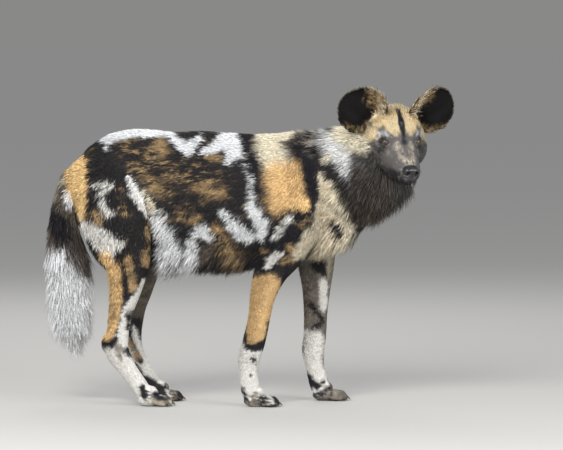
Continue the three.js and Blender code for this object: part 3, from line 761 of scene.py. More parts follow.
def skin_parts():
    """All the surfaces that the skin is drawn over."""
    parts = [loft.skin(40, 80, grow) for loft, grow in FORMS.values()]
    for s in (-1, 1):
        parts += [ball((x, s * y, z), radii, HEAD_PLACE) for (x, y, z), radii in HEAD_PAIRS]
    parts += [ball(centre, radii, HEAD_PLACE) for centre, radii in HEAD_MIDDLE]
    for foot in FEET:
        parts += paw_parts(*foot)
    return parts + [ball(centre, radii) for centre, radii in LEG_JOINTS]


def sculpted_face(points):
    """Sockets round the eyes and the line of the mouth."""
    for s in (-1, 1):
        place = eye_place(s)
        local = moved(points, place.inverted())
        across = np.sqrt((local[:, 0] / 10.5) ** 2 + (local[:, 1] / 7.2) ** 2)
        depth = np.linalg.norm(local, axis=1)
        near = (depth < 32) & (local[:, 2] > -2)
        goal = depth.copy()
        hole = near & (across < 1.15)
        goal[hole] = EYE_RADIUS - 1.6
        rim = near & (across >= 1.15) & (across < 2.3)
        want = EYE_RADIUS + 1.4 - 1.2 * smooth(1.15, 2.3, across)
        goal = np.where(rim, np.maximum(want, depth * 0.35 + want * 0.65), goal)
        local *= (goal / np.maximum(depth, 1e-6))[:, None]
        points = moved(local, place)
    local = moved(points, HEAD_PLACE.inverted())
    path = mouth_line(np.linspace(-1, 1, 41))
    gap = np.min(np.linalg.norm(local[:, None, :] - path[None], axis=2), axis=1)
    inward = unit(np.array([50.0, 0.0, -46.0]) - local)
    groove = 2.6 * np.exp(-((gap / 2.4) ** 2))
    lip = 1.3 * np.exp(-(((gap - 5.5) / 2.4) ** 2))
    local += inward * groove[:, None]
    local -= inward * lip[:, None]
    return moved(local, HEAD_PLACE)


def mouth_line(across):
    """The line between the lips, in the head's frame, from one corner to the other."""
    back = np.abs(across)
    front, corner = 0.92, 0.56
    t = front + (corner - front) * back**1.4
    angle = math.pi - across * (0.5 + 0.42 * back) * 1.25
    points = Loft(HEAD).point(t, angle, -1.5)
    points[:, 0] += (1 - back) * 4
    return points


def principled(name, roughness, **sockets):
    """A material with its shader, and the values that are the same all over."""
    material = bpy.data.materials.new(name)
    material.use_nodes = True
    nodes = material.node_tree.nodes
    shader = nodes["Principled BSDF"]
    shader.inputs["Roughness"].default_value = roughness
    for socket, value in sockets.items():
        shader.inputs[socket.replace("_", " ")].default_value = value
    return material, nodes, material.node_tree.links, shader


def noise_node(nodes, links, scale, detail=3.0, stretch=None):
    place = nodes.new("ShaderNodeTexCoord").outputs["Object"]
    if stretch:
        mapping = nodes.new("ShaderNodeMapping")
        mapping.inputs["Scale"].default_value = stretch
        links.new(place, mapping.inputs["Vector"])
        place = mapping.outputs["Vector"]
    made = nodes.new("ShaderNodeTexNoise")
    made.inputs["Scale"].default_value = scale
    made.inputs["Detail"].default_value = detail
    links.new(place, made.inputs["Vector"])
    return made.outputs["Fac"]


def add_bump(nodes, links, shader, height, strength, distance):
    bump = nodes.new("ShaderNodeBump")
    bump.inputs["Strength"].default_value = strength
    bump.inputs["Distance"].default_value = distance
    links.new(height, bump.inputs["Height"])
    links.new(bump.outputs["Normal"], shader.inputs["Normal"])


def ranged(nodes, links, value, low, high):
    made = nodes.new("ShaderNodeMapRange")
    made.inputs["To Min"].default_value = low
    made.inputs["To Max"].default_value = high
    links.new(value, made.inputs["Value"])
    return made.outputs["Result"]


def multiplied(nodes, links, colour, factor):
    """A colour made darker or lighter by a factor."""
    made = nodes.new("ShaderNodeMix")
    made.data_type = "RGBA"
    made.blend_type = "MULTIPLY"
    made.inputs["Factor"].default_value = 1.0
    links.new(colour, made.inputs["A"])
    links.new(factor, made.inputs["B"])
    return made.outputs["Result"]


def coat_material(name, streak, bump):
    """Hair: the painted colour, broken by fine streaks, with a dull sheen."""
    material, nodes, links, shader = principled(name, 0.78, Specular_IOR_Level=0.18)
    paint = nodes.new("ShaderNodeAttribute")
    paint.attribute_name = "coat"
    fine = noise_node(nodes, links, 1.0, 3.0, streak)
    shade = multiplied(nodes, links, paint.outputs["Color"], ranged(nodes, links, fine, 0.62, 1.36))
    links.new(shade, shader.inputs["Base Color"])
    links.new(ranged(nodes, links, fine, 0.62, 0.86), shader.inputs["Roughness"])
    add_bump(nodes, links, shader, fine, bump, 0.002)
    return material


class Tufts:
    """Roots of tufts on a surface, gathered before they become meshes."""

    def __init__(self, made, seed):
        made.data.calc_loop_triangles()
        count = len(made.data.loop_triangles)
        corners = np.zeros(count * 3, np.int32)
        made.data.loop_triangles.foreach_get("vertices", corners)
        loops = np.zeros(count * 3, np.int32)
        made.data.loop_triangles.foreach_get("loops", loops)
        self.corners = corners.reshape(-1, 3)
        uv = np.zeros(len(made.data.loops) * 2, np.float32)
        made.data.uv_layers["OFBake"].data.foreach_get("uv", uv)
        self.uv = uv.reshape(-1, 2)[loops.reshape(-1, 3)]
        self.points = coordinates(made)
        normals = np.zeros(len(made.data.vertices) * 3, np.float32)
        made.data.vertex_normals.foreach_get("vector", normals)
        self.normals = normals.reshape(-1, 3).astype(float)
        a, b, c = (self.points[self.corners[:, i]] for i in range(3))
        self.area = np.linalg.norm(np.cross(b - a, c - a), axis=1) / 2
        self.random = np.random.default_rng(seed)

    def planted(self, spacing):
        """Tufts about one spacing apart: triangles, shares of their corners, roots, normals and map places."""
        gap = spacing[self.corners].mean(axis=1)
        wanted = self.area / gap**2
        number = np.floor(wanted + self.random.random(len(wanted))).astype(int)
        chosen = np.repeat(np.arange(len(number)), number)
        r = self.random.random((len(chosen), 2))
        flip = r.sum(axis=1) > 1
        r[flip] = 1 - r[flip]
        weights = np.column_stack([1 - r.sum(axis=1), r])
        roots = self.at(self.points, chosen, weights)
        normals = unit(self.at(self.normals, chosen, weights))
        return chosen, weights, roots, normals, (self.uv[chosen] * weights[:, :, None]).sum(axis=1)

    def at(self, values, chosen, weights):
        """Values of the vertices, at the places of tufts."""
        picked = values[self.corners[chosen]]
        if picked.ndim == 2:
            return (picked * weights).sum(axis=1)
        return (picked * weights[:, :, None]).sum(axis=1)


def tuft_mesh(name, roots, normals, flows, look, colours, uvs, rings, material):
    """One piece of many closed tapered tufts. look holds length, lift, droop, half width and curl."""
    length, lift, droop, half, curl = (column[:, None] for column in look.T)
    count = len(roots)
    flows = unit(flows - normals * np.sum(flows * normals, axis=1, keepdims=True))
    across = np.cross(normals, flows)
    down = np.array([0.0, 0.0, -1.0])

    def path(s):
        forward = flows * length * s * (1 - 0.1 * s)
        out = normals * length * lift * s * (1.5 - 0.5 * s)
        aside = across * length * curl * s * s
        return roots + forward + out + down * length * droop * s * s + aside - normals * 0.8

    stations = [(0.42, 1.0)] if rings == 1 else [(0.3, 1.0), (0.68, 0.8)]
    columns = [path(0.0)]
    for s, w in stations:
        centre = path(s)
        columns += [centre - across * half * w, centre + across * half * w, centre + normals * half * w * 0.7]
    columns.append(path(1.0))
    points = np.stack(columns, axis=1)
    points[:, :, 2] = np.maximum(points[:, :, 2], FLOOR_GAP)
    per = points.shape[1]
    faces = [(0, 1, 3), (0, 3, 2), (0, 2, 1)]
    for ring in range(rings - 1):
        a, b, c = (1 + 3 * ring + k for k in (0, 1, 2))
        for p, q in ((a, c), (c, b), (b, a)):
            faces += [(p, p + 3, q + 3), (p, q + 3, q)]
    a, b, c = (1 + 3 * (rings - 1) + k for k in (0, 1, 2))
    tip = per - 1
    faces += [(tip, c, a), (tip, b, c), (tip, a, b)]
    corners = (np.array(faces).reshape(1, -1) + np.arange(count)[:, None] * per).ravel().astype(np.int32)
    mesh = bpy.data.meshes.new(name)
    mesh.vertices.add(count * per)
    mesh.vertices.foreach_set("co", ((points + SHIFT) * MM).astype(np.float32).ravel())
    mesh.loops.add(len(corners))
    mesh.loops.foreach_set("vertex_index", corners)
    mesh.polygons.add(len(corners) // 3)
    mesh.polygons.foreach_set("loop_start", np.arange(0, len(corners), 3, dtype=np.int32))
    patch = np.zeros((per, 2))
    patch[0] = (0, -0.5)
    for ring in range(rings):
        rise = 0.5 * ring - 0.25 * (rings - 1)
        patch[1 + 3 * ring : 4 + 3 * ring] = [(-0.5, rise), (0.5, rise), (0, rise + 0.12)]
    patch[tip] = (0, 0.5)
    layer = mesh.uv_layers.new(name="OFBake")
    spread = (uvs[:, None, :] + patch[None] * 0.003).reshape(-1, 2)
    layer.data.foreach_set("uv", spread[corners].astype(np.float32).ravel())
    # Painted shade and light: each tuft is darker at its root, deep in the coat, and lighter at its tip
    shade = np.linspace(0.82, 1.12, per) if rings == 1 else np.linspace(0.92, 1.05, per)
    shade[0], shade[tip] = shade[0] - 0.1, 1.14
    made = bpy.data.objects.new(name, mesh)
    bpy.context.scene.collection.objects.link(made)
    mesh.update(calc_edges=True)
    set_colours(made, (colours[:, None, :] * shade[None, :, None]).reshape(-1, 3))
    mesh.materials.append(material)
    return made


def in_pieces(name, rings, slot, material, *columns):
    """Splits tufts into pieces that stay under the limit of triangles."""
    parts = max(1, math.ceil(len(columns[0]) * 6 * rings / PIECE_LIMIT))
    for part in range(parts):
        take = slice(part, None, parts)
        piece = tuft_mesh(f"{name}_{part + 1}", *(c[take] for c in columns), rings, material)
        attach(piece, "root")


def coat_style(points, region, place, angle):
    """Flow of the hair, and its length, lift and droop, at skin vertices."""
    n = len(points)
    flow = np.tile([-1.0, 0.0, -0.3], (n, 1))
    length = np.full(n, 17.0)
    lift = np.full(n, 0.24)
    droop = np.zeros(n)
    spot = along_down(points)
    under = np.abs(np.abs(angle) - math.pi)
    for index, name in enumerate(REGIONS):
        here = region == index
        if not here.any():
            continue
        loft, _ = FORMS[name]
        along = loft.axes(place[here])[0]
        if loft.place is not None:
            along = turned(along, loft.place)
        p, a, t, u = points[here], under[here], place[here], spot[here]
        if name == "torso":
            belly = smooth(0.95, 0.3, a) * smooth(0.3, 0.4, t) * smooth(0.66, 0.54, t)
            chest = smooth(1.5, 0.7, a) * smooth(0.74, 0.84, t)
            fold = np.exp(-(((u[:, 0] - 150 - 0.42 * (u[:, 1] - 185)) / 12) ** 2)) * smooth(185, 225, u[:, 1])
            side_fall = smooth(640, 420, p[:, 2])
            flow[here] = np.column_stack([-1 + 0.35 * side_fall, 0 * a, -0.12 - 0.75 * side_fall])
            length[here] = 17 + 22 * belly + 26 * chest + 14 * fold + 3 * smooth(0.2, 0.05, t)
            lift[here] = 0.22 + 0.3 * belly + 0.22 * chest + 0.12 * fold
            droop[here] = 0.3 * belly + 0.15 * chest + 0.15 * fold
        elif name == "neck":
            throat = smooth(1.9, 0.9, a)
            flow[here] = -along * 0.9 + np.column_stack([0 * a, 0 * a, -0.15 - 0.7 * throat])
            crest = smooth(2.0, 2.8, a)
            length[here] = 21 + 30 * throat + 9 * crest
            lift[here] = 0.25 + 0.25 * throat + 0.2 * crest
            droop[here] = 0.12 * throat
        elif name == "head":
            local = moved(p, HEAD_PLACE.inverted())
            nose = np.array([118.0, 0.0, -30.0])
            fall = -0.25 * smooth(0, -40, local[:, 2])
            flow[here] = turned(unit(local - nose) + np.column_stack([-0.5 + 0 * a, 0 * a, fall]), HEAD_PLACE)
            cheek = smooth(0, -48, local[:, 0])
            low = smooth(10, -30, local[:, 2])
            muzzle = smooth(10, 45, local[:, 0])
            crown = smooth(40, 62, local[:, 2]) * smooth(40, 22, np.abs(local[:, 1]))
            length[here] = 7.5 - 4 * muzzle + 8 * cheek + 15 * cheek * low + 1.5 * crown
            lift[here] = 0.2 + 0.14 * cheek * low + 0.2 * crown
        elif name == "tail":
            brush = smooth(480, 420, p[:, 2])
            flow[here] = along
            length[here] = 22 + 58 * brush - 22 * smooth(260, 170, p[:, 2])
            lift[here] = 0.24 + 0.17 * brush
            droop[here] = 0.05 * brush
        else:
            high = smooth(300, 430, p[:, 2])
            back = smooth(0.4, -0.6, np.cos(angle[here])) * smooth(90, 160, p[:, 2])
            flow[here] = along + np.column_stack([-0.15 - 0.2 * high, 0 * a, 0 * a])
            rear = 12 if name.startswith("hind") else 5
            length[here] = 6.5 + 10 * high + rear * back * smooth(180, 380, p[:, 2]) + 2.5 * back
            lift[here] = 0.2 + 0.1 * back
            foot = smooth(70, 25, p[:, 2])
            flow[here] += np.column_stack([0.9 * foot, 0 * foot, 0 * foot])
            length[here] -= 1.5 * foot
    return flow, length, lift, droop


class WILDDOG_PG_body(bpy.types.PropertyGroup):
    """Sizes of the skin."""

    voxel: FloatProperty(
        name="Skin grain",
        description="Distance between the points of the skin while it is formed",
        default=0.0023,
        unit="LENGTH",
    )
    keep: FloatProperty(
        name="Points kept",
        description="Share of the skin's faces that stay",
        default=0.36,
        min=0.05,
        max=1.0,
        subtype="FACTOR",
    )
    skin_colour: FloatVectorProperty(
        name="Bare skin",
        description="Colour of lids, lips and the inside of the ears",
        default=tuple(linear("#1f1a19")),
        size=3,
        subtype="COLOR",
    )


class WILDDOG_PG_coat(bpy.types.PropertyGroup):
    """Sizes of the coat."""

    density: FloatProperty(
        name="Density",
        description="How many tufts stand on the skin, against the usual number",
        default=1.0,
        min=0.05,
        max=1.5,
        subtype="FACTOR",
    )
    length: FloatProperty(
        name="Length",
        description="Length of the hair, against the usual length",
        default=1.0,
        min=0.3,
        max=2.0,
        subtype="FACTOR",
    )
    seed: IntProperty(name="Seed", description="Start of the random draws", default=5)


class WILDDOG_PG_eyes(bpy.types.PropertyGroup):
    """Colours of the eyes."""

    iris: FloatVectorProperty(
        name="Iris",
        description="Colour of the iris",
        default=tuple(linear("#553a1c")),
        size=3,
        subtype="COLOR",
    )


# The finished skin with its regions, on which the coat is set
shared = {}


class WILDDOG_OT_skin(bpy.types.Operator):
    """Form the skin of the whole body, with its face and feet"""

    bl_idname = "wilddog.skin"
    bl_label = "Skin"

    def execute(self, context):
        sizes = context.scene.wilddog_body
        made = new_mesh("skin", *joined(skin_parts()))
        applied(made, "REMESH", mode="VOXEL", voxel_size=sizes.voxel * 1)
        points = coordinates(made)
        edges = edge_list(made)
        face_reach, foot_height = 150, 50
        face = np.linalg.norm(points - np.array(EYE_POINT), axis=1) < face_reach
        foot = points[:, 2] < foot_height
        share = np.where(face, 0.25, np.where(foot, 0.18, 0.55))
        points = relaxed(points, edges, 14, share)
        points[face] = sculpted_face(points[face])
        points[:, 2] = np.maximum(points[:, 2], FLOOR_GAP)
        set_coordinates(made, points)
        applied(made, "DECIMATE", ratio=sizes.keep)
        unwrapped(made)
        points = coordinates(made)
        region, place, angle = nearest_region(points)
        # The skin takes the coat's colours with painted shade: a fifth darker, as the deep coat under the
        # tufts
        set_colours(made, coat_colour(points, region) * 0.8)
        made.data.materials.append(coat_material("Short hair", (60, 300, 160), 0.6))
        shared["skin"] = (made, region, place, angle)
        flesh = [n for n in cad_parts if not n.startswith(("eye", "ear", "nose"))]
        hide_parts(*flesh)
        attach(made, "root")
        return {"FINISHED"}


class WILDDOG_OT_coat(bpy.types.Operator):
    """Set the tufts of the coat along the lie of the hair"""

    bl_idname = "wilddog.coat"
    bl_label = "Coat"

    def execute(self, context):
        sizes = context.scene.wilddog_coat
        if "skin" not in shared:
            raise RuntimeError("the skin has to be formed before the coat")
        made, region, place, angle = shared["skin"]
        tufts = Tufts(made, sizes.seed)
        edges = edge_list(made)
        flow, length, lift, droop = coat_style(tufts.points, region, place, angle)
        flow = unit(relaxed(unit(flow), edges, 14))
        look = relaxed(np.column_stack([length * sizes.length, lift, droop]), edges, 6)
        length = look[:, 0]
        # Millimetres from tuft to tuft, wider where the hair is longer, but closer again in the longest
        spacing = 0.95 + 0.085 * np.clip(length, 4, 24) - 0.02 * np.clip(length - 24, 0, 50)
        centres = (np.array(eye_place(s).translation) for s in (-1, 1))
        eye_gap = np.minimum(*(np.linalg.norm(tufts.points - centre, axis=1) for centre in centres))
        local = moved(tufts.points, HEAD_PLACE.inverted())
        nose_gap = np.linalg.norm(local - [105, 0, -34], axis=1)
        lid_reach, nose_reach, sole = 14.5, 19, 3
        bare = (eye_gap < lid_reach) | (nose_gap < nose_reach) | (tufts.points[:, 2] < sole)
        no_tufts = 50.0
        spacing = np.where(bare, no_tufts, spacing) / math.sqrt(sizes.density)
        spacing = spacing * np.where(region == REGIONS.index("torso"), 1.2, 1.04)
        chosen, weights, roots, normals, uvs = tufts.planted(spacing)
        flows = tufts.at(flow, chosen, weights)
        length, lift, droop = tufts.at(look, chosen, weights).T
        nearest = tufts.corners[chosen, np.argmax(weights, axis=1)]
        colours = coat_colour(roots, region[nearest])
        random = tufts.random
        count = len(roots)
        in_ruff = smooth(30, 60, length)
        colours *= (1 + (0.2 - 0.09 * in_ruff) * random.standard_normal(count).clip(-1.8, 1.8))[:, None]
        stray = (0.16 - 0.1 * in_ruff)[:, None] * random.standard_normal((count, 3))
        flows += stray + 0.14 * np.column_stack([noise(roots, 28, seed) for seed in (31, 32, 33)])
        uneven = 0.8 + 0.4 * random.random(count)
        half = 0.34 + 0.03 * np.clip(length, 4, 20) - 0.001 * np.clip(length - 20, 0, 70)
        half = half * 1
        curl = (0.1 + 0.02 * (length > 40)) * random.standard_normal(count)
        lift = lift * (0.7 + 0.6 * random.random(count))
        shape = np.column_stack([length * uneven, lift, droop, half, curl])
        material = coat_material("Coat hair", (90, 420, 240), 0.25)
        long = length > LONG_HAIR
        columns = (roots, normals, flows, shape, colours, uvs)
        in_pieces("coat_long", 2, "coat_white", material, *(column[long] for column in columns))
        in_pieces("coat_short", 1, "coat_dark", material, *(column[~long] for column in columns))
        return {"FINISHED"}


class WILDDOG_OT_eyes(bpy.types.Operator):
    """Make the eyeballs and the lids round them"""

    bl_idname = "wilddog.eyes"
    bl_label = "Eyes"

    def execute(self, context):
        iris = context.scene.wilddog_eyes.iris
        material = eye_material(iris)
        lid_skin = bare_skin("Lid skin", context.scene.wilddog_body.skin_colour, 0.42, 900)
        for s, side in ((-1, "right"), (1, "left")):
            place = eye_place(s)
            up, around = sphere_grid(40, 48)
            bulge = 1 + 0.05 * smooth(0.62, 0.2, up)
            rings = np.stack([np.sin(up) * np.cos(around), np.sin(up) * np.sin(around), np.cos(up)], axis=-1)
            points, faces = closed_rings(rings * (EYE_RADIUS * bulge)[..., None])
            points[-2] = (0, 0, EYE_RADIUS * 1.05)
            points[-1] = (0, 0, -EYE_RADIUS)
            flat = bpy.data.meshes.new("eyeball_" + side)
            flat.from_pydata((points * MM).tolist(), [], [face[::-1] for face in faces])
            flat.shade_smooth()
            eyeball = bpy.data.objects.new("eyeball_" + side, flat)
            context.scene.collection.objects.link(eyeball)
            world = place.copy()
            world.translation = (world.translation + Vector(SHIFT)) * MM
            eyeball.matrix_world = world
            flat.materials.append(material)
            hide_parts("eye_" + side)
            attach(eyeball, "root")
            lid = new_mesh("lids_" + side, *lid_ring(place))
            lid.data.shade_smooth()
            lid.data.materials.append(lid_skin)
            applied(lid, "SUBSURF", levels=1)
            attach(lid, "root")
        return {"FINISHED"}


def lid_ring(place):
    """Upper and lower lid: a soft rim round an almond opening, on the ball of the eye."""
    sides = 40
    section = [(-0.2, -1.4), (0.0, 0.5), (0.6, 1.2), (1.6, 1.6)]
    section += [(2.8, 1.2), (4.4, -0.2), (5.2, -2.8), (2.6, -2.8)]
    rings = []
    for k in range(sides):
        turn = math.tau * k / sides
        upper = max(0.0, math.sin(turn))
        inner = max(0.0, -math.cos(turn)) ** 6
        ring = []
        for grow, rise in section:
            a = 8.6 + grow + 1.6 * inner
            b = 5.2 - 0.4 * (1 - upper) + grow
            x, y = a * math.cos(turn), b * math.sin(turn) - 1.5 * inner
            radius = EYE_RADIUS + rise + 0.6 * upper
            z = math.sqrt(max(radius**2 - x * x - y * y, 9.0))
            ring.append((x, y, z))
        rings.append(ring)
    rings = np.array(rings)
    count = len(section)
    points = moved(rings.reshape(-1, 3), place)
    faces = []
    for i in range(sides):
        j = (i + 1) % sides
        for k in range(count):
            n = (k + 1) % count
            faces.append((i * count + k, j * count + k, j * count + n, i * count + n))
    return points, faces


def eye_material(iris):
    """A wet eye: black pupil, amber iris with rays, a dark edge and brown white of the eye."""
    material, nodes, links, shader = principled(
        "Eye", 0.12, Coat_Weight=1.0, Coat_Roughness=0.03, Specular_IOR_Level=0.5
    )
    place = nodes.new("ShaderNodeTexCoord").outputs["Object"]
    apart = nodes.new("ShaderNodeSeparateXYZ")
    links.new(place, apart.inputs["Vector"])
    flat = nodes.new("ShaderNodeCombineXYZ")
    links.new(apart.outputs["X"], flat.inputs["X"])
    links.new(apart.outputs["Y"], flat.inputs["Y"])
    size = nodes.new("ShaderNodeVectorMath")
    size.operation = "LENGTH"
    links.new(flat.outputs["Vector"], size.inputs[0])
    share = nodes.new("ShaderNodeMath")
    share.operation = "DIVIDE"
    share.inputs[1].default_value = EYE_RADIUS * MM
    links.new(size.outputs["Value"], share.inputs[0])
    ramp = nodes.new("ShaderNodeValToRGB")
    dark = (0.006, 0.004, 0.003, 1)
    amber = (*iris, 1)
    deep = (iris[0] * 0.3, iris[1] * 0.28, iris[2] * 0.3, 1)
    stops = [(0.0, dark), (0.27, dark), (0.31, deep), (0.42, amber), (0.56, amber), (0.64, deep), (0.7, dark)]
    stops.append((0.86, (0.05, 0.03, 0.02, 1)))
    while len(ramp.color_ramp.elements) < len(stops):
        ramp.color_ramp.elements.new(0.5)
    for element, (position, colour) in zip(ramp.color_ramp.elements, stops):
        element.position = position
        element.color = colour
    links.new(share.outputs["Value"], ramp.inputs["Fac"])
    rays = ranged(nodes, links, noise_node(nodes, links, 900, 2.0), 0.5, 1.5)
    links.new(multiplied(nodes, links, ramp.outputs["Color"], rays), shader.inputs["Base Color"])
    return material


def bare_skin(name, colour, roughness, scale):
    """Bare wet skin with fine pebbles."""
    material, nodes, links, shader = principled(name, roughness, Coat_Weight=0.25, Coat_Roughness=0.3)
    cells = nodes.new("ShaderNodeTexVoronoi")
    cells.inputs["Scale"].default_value = scale
    links.new(nodes.new("ShaderNodeTexCoord").outputs["Object"], cells.inputs["Vector"])
    patches = noise_node(nodes, links, 60, 4)
    mix = nodes.new("ShaderNodeMix")
    mix.data_type = "RGBA"
    mix.inputs["A"].default_value = (*(c * 0.6 for c in colour), 1)
    mix.inputs["B"].default_value = (*(min(1, c * 1.7) for c in colour), 1)
    links.new(patches, mix.inputs["Factor"])
    links.new(mix.outputs["Result"], shader.inputs["Base Color"])
    links.new(ranged(nodes, links, patches, roughness * 0.75, roughness * 1.25), shader.inputs["Roughness"])
    add_bump(nodes, links, shader, cells.outputs["Distance"], 0.5, 0.0006)
    return material


class WILDDOG_OT_nose(bpy.types.Operator):
    """Shape the nose pad with its nostrils"""

    bl_idname = "wilddog.nose"
    bl_label = "Nose"

    def execute(self, context):
        up, around = sphere_grid(70, 96)
        ahead, side, high = np.cos(up), np.sin(up) * np.cos(around), np.sin(up) * np.sin(around)
        rings = np.stack([ahead, side, high], axis=-1)
        points, faces = closed_rings(rings)
        points[-2], points[-1] = (1, 0, 0), (-1, 0, 0)
        x, y, z = points.T
        bx, by, bz = (np.sign(v) * np.abs(v) ** 0.78 for v in (x, y, z))
        shaped = np.column_stack([bx * 14, by * (21.5 - 5 * np.maximum(-z, 0)), bz * 15.5])
        front = smooth(0.0, 0.5, x)
        for s in (-1, 1):
            slant = 0.25 * (y * 21.5 * s - 9.5)
            hole = ((y * 21.5 - s * 9.5) / 5.2) ** 2 + ((z * 15.5 + 0.5 + slant) / 4.2) ** 2
            shaped[:, 0] -= front * 11 * np.exp(-(hole**1.6))
            slit = ((y * 21.5 - s * 17) / 6.5) ** 2 + ((z * 15.5 + 5) / 1.9) ** 2
            shaped[:, 0] -= front * 5 * np.exp(-slit)
            wing = ((y * 21.5 - s * 12) / 8) ** 2 + ((z * 15.5 - 7) / 5) ** 2
            shaped[:, 0] += front * 2.0 * np.exp(-wing)
        shaped[:, 0] -= front * 2.8 * np.exp(-((y * 21.5 / 1.4) ** 2)) * smooth(0.5, -0.1, z)
        shaped += np.array([105, 0, -34])
        made = new_mesh("nose_pad", moved(shaped, HEAD_PLACE), [face[::-1] for face in faces])
        made.data.shade_smooth()
        made.data.materials.append(bare_skin("Nose skin", linear("#1c1a1b"), 0.34, 700))
        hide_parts("nose")
        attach(made, "root")
        return {"FINISHED"}


class WILDDOG_OT_claws(bpy.types.Operator):
    """Set a curved claw on each toe"""

    bl_idname = "wilddog.claws"
    bl_label = "Claws"

    def execute(self, context):
        parts = [claw(np.array([x + 13, y, 11.5])) for foot in FEET for x, y in toes(*foot)]
        made = new_mesh("claws", *joined(parts))
        made.data.shade_smooth()
        made.data.materials.append(bare_skin("Claw horn", linear("#3a322b"), 0.4, 400))
        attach(made, "root")
        return {"FINISHED"}


def claw(start):
    """A flattened cone that bends down towards the floor."""
    rings = []
    for s in np.linspace(0, 1, 9):
        centre = start + np.array([13 * s, 0, -1.5 * s - 6.5 * s * s])
        radius = 3.0 * (1 - s) ** 0.7 + 0.25
        turn = np.arange(10) * math.tau / 10
        tilt = 0.5 + 0.5 * s
        rings.append(
            centre
            + np.outer(np.cos(turn) * radius * 0.72, (0, 1, 0))
            + np.outer(np.sin(turn) * radius, (math.sin(tilt), 0, math.cos(tilt)))
        )
    return closed_rings(np.array(rings))


EAR_HALF_WIDTH = 62.5


def ear_point(s, u, v, face):
    """A point of an ear. u runs from its root to its tip, v across it, and face is 1 on the inner side."""
    root = np.array([-58.0, s * 34, 21])
    tip = np.array([-50.0, s * 137, 101])
    along = unit(tip - root)
    facing = unit(unit(np.array([0.95, s * 0.3, 0.05])) - 0.3 * along)
    across = unit(np.cross(along, facing))
    length = np.linalg.norm(tip - root)
    wide = 0.54  # where along it the ear is widest
    tipward = np.clip((u - wide) / (1 - wide), 0, 1)
    rootward = np.clip((wide - u) / wide, 0, 1)
    half = EAR_HALF_WIDTH * np.sqrt(np.maximum(1 - (tipward * 0.99) ** 2.2, 0)) * (1 - 0.72 * rootward**1.9)
    edge = np.abs(v) ** 6
    half = half * (1 + 0.02 * np.sin(u * 23 + 1.3 * np.sign(v)) * edge + 0.012 * np.sin(u * 61) * edge)
    cup = (30 - 20 * u) * (half / EAR_HALF_WIDTH)
    thick = 0.7 + 1.5 * (1 - v * v) * (1 - tipward) + 0.9 * np.abs(v) ** 8
    fold = 1.6 * np.sin(v * 9 + 1.5) * (1 - v * v) * (1 - tipward) * smooth(0.0, 0.3, u)
    depth = cup * v * v - 4 * tipward**2 + face * thick + fold * (face > 0)
    u, half, depth, v = (value[..., None] for value in (u * length, half, depth, v))
    return root + along * u + across * v * half + facing * depth


class WILDDOG_OT_ears(bpy.types.Operator):
    """Shape the round cups of the ears, with short hair outside and long hair along the inner edges"""

    bl_idname = "wilddog.ears"
    bl_label = "Ears"

    def execute(self, context):
        rows, columns = 44, 36
        hair = coat_material("Ear hair", (200, 420, 240), 0.3)
        leather = coat_material("Ear skin", (60, 140, 90), 0.35)
        for s, side in ((-1, "right"), (1, "left")):
            u = np.linspace(0, 1, rows + 1)[:, None] * np.ones(columns + 1)
            v = np.linspace(-1, 1, columns + 1)[None] * np.ones((rows + 1, 1))
            inner = ear_point(s, u, v, 1)
            outer = ear_point(s, u, v, -1)
            rings = np.concatenate([inner, outer[:, ::-1]], axis=1)
            points, faces = closed_rings(rings)
            made = new_mesh("ear_cup_" + side, moved(points, HEAD_PLACE), faces)
            made.data.validate()
            unwrapped(made, outward=True)
            us, vs = (np.concatenate([grid, grid[:, ::-1]], axis=1).ravel() for grid in (u, v))
            us, vs = np.append(us, [0, 1]), np.append(vs, [0, 0])
            inside = np.append(np.tile([1.0] * (columns + 1) + [0.0] * (columns + 1), rows + 1), [0, 0])
            set_colours(made, ear_colour(points, us, vs * s, inside))
            made.data.materials.append(leather)
            self.fur(made, s, us, vs * s, inside, hair, side, context.scene.wilddog_coat)
            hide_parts("ear_" + side)
            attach(made, "root")
        return {"FINISHED"}

    def fur(self, made, s, u, v, inside, material, side, sizes):
        """Short tufts on both faces, and longer ones along the inner edge next to the crown."""
        tufts = Tufts(made, sizes.seed + 40 + s)
        tipward = unit(turned(np.array([8.0, s * 105.0, 86.0]), HEAD_PLACE))
        inward = turned(np.array([0.0, -s * 0.2, 0.1]), HEAD_PLACE)
        edge = smooth(0.5, 0.95, np.abs(v)) * inside * (0.35 + 0.65 * smooth(0.3, -0.8, v))
        base = smooth(0.5, 0.1, u)
        length = np.where(inside > 0.5, 5 + 17 * edge * smooth(1.05, 0.6, u) + 13 * base, 6.5) * sizes.length
        lift = np.where(inside > 0.5, 0.22 + 0.2 * edge, 0.15)
        spacing = np.where(inside > 0.5, 2.5 - 0.9 * np.maximum(edge, base), 1.55)
        spacing = spacing / math.sqrt(sizes.density) * 1
        chosen, weights, roots, normals, uvs = tufts.planted(spacing)
        columns = np.column_stack([u, v, inside, length, lift])
        us, vs, side_in, lengths, lifts = tufts.at(columns, chosen, weights).T
        colours = ear_colour(moved(roots, HEAD_PLACE.inverted()), us, vs, side_in)
        random = tufts.random
        count = len(roots)
        long = (side_in > 0.5) & (lengths > 11)
        crown = smooth(0.2, -0.7, vs)
        draw = random.random(count)
        colours[long & (draw < 0.55 * smooth(1.0, 0.4, us) * crown)] = TAN * 0.85
        colours[long & (draw < 0.3 * smooth(0.8, 0.2, us) * crown)] = CREAM * 0.9
        colours *= (1 + 0.2 * random.standard_normal(count).clip(-1.8, 1.8))[:, None]
        flows = tipward + 0.2 * random.standard_normal((count, 3)) + inward
        look = np.column_stack(
            [
                lengths * (0.7 + 0.5 * random.random(count)),
                lifts * (0.7 + 0.6 * random.random(count)),
                np.zeros(count),
                np.where(long, 0.62, 0.5),
                0.12 * random.standard_normal(count),
            ]
        )
        in_pieces("ear_hair_" + side, 1, "ear_skin", material, roots, normals, flows, look, colours, uvs)


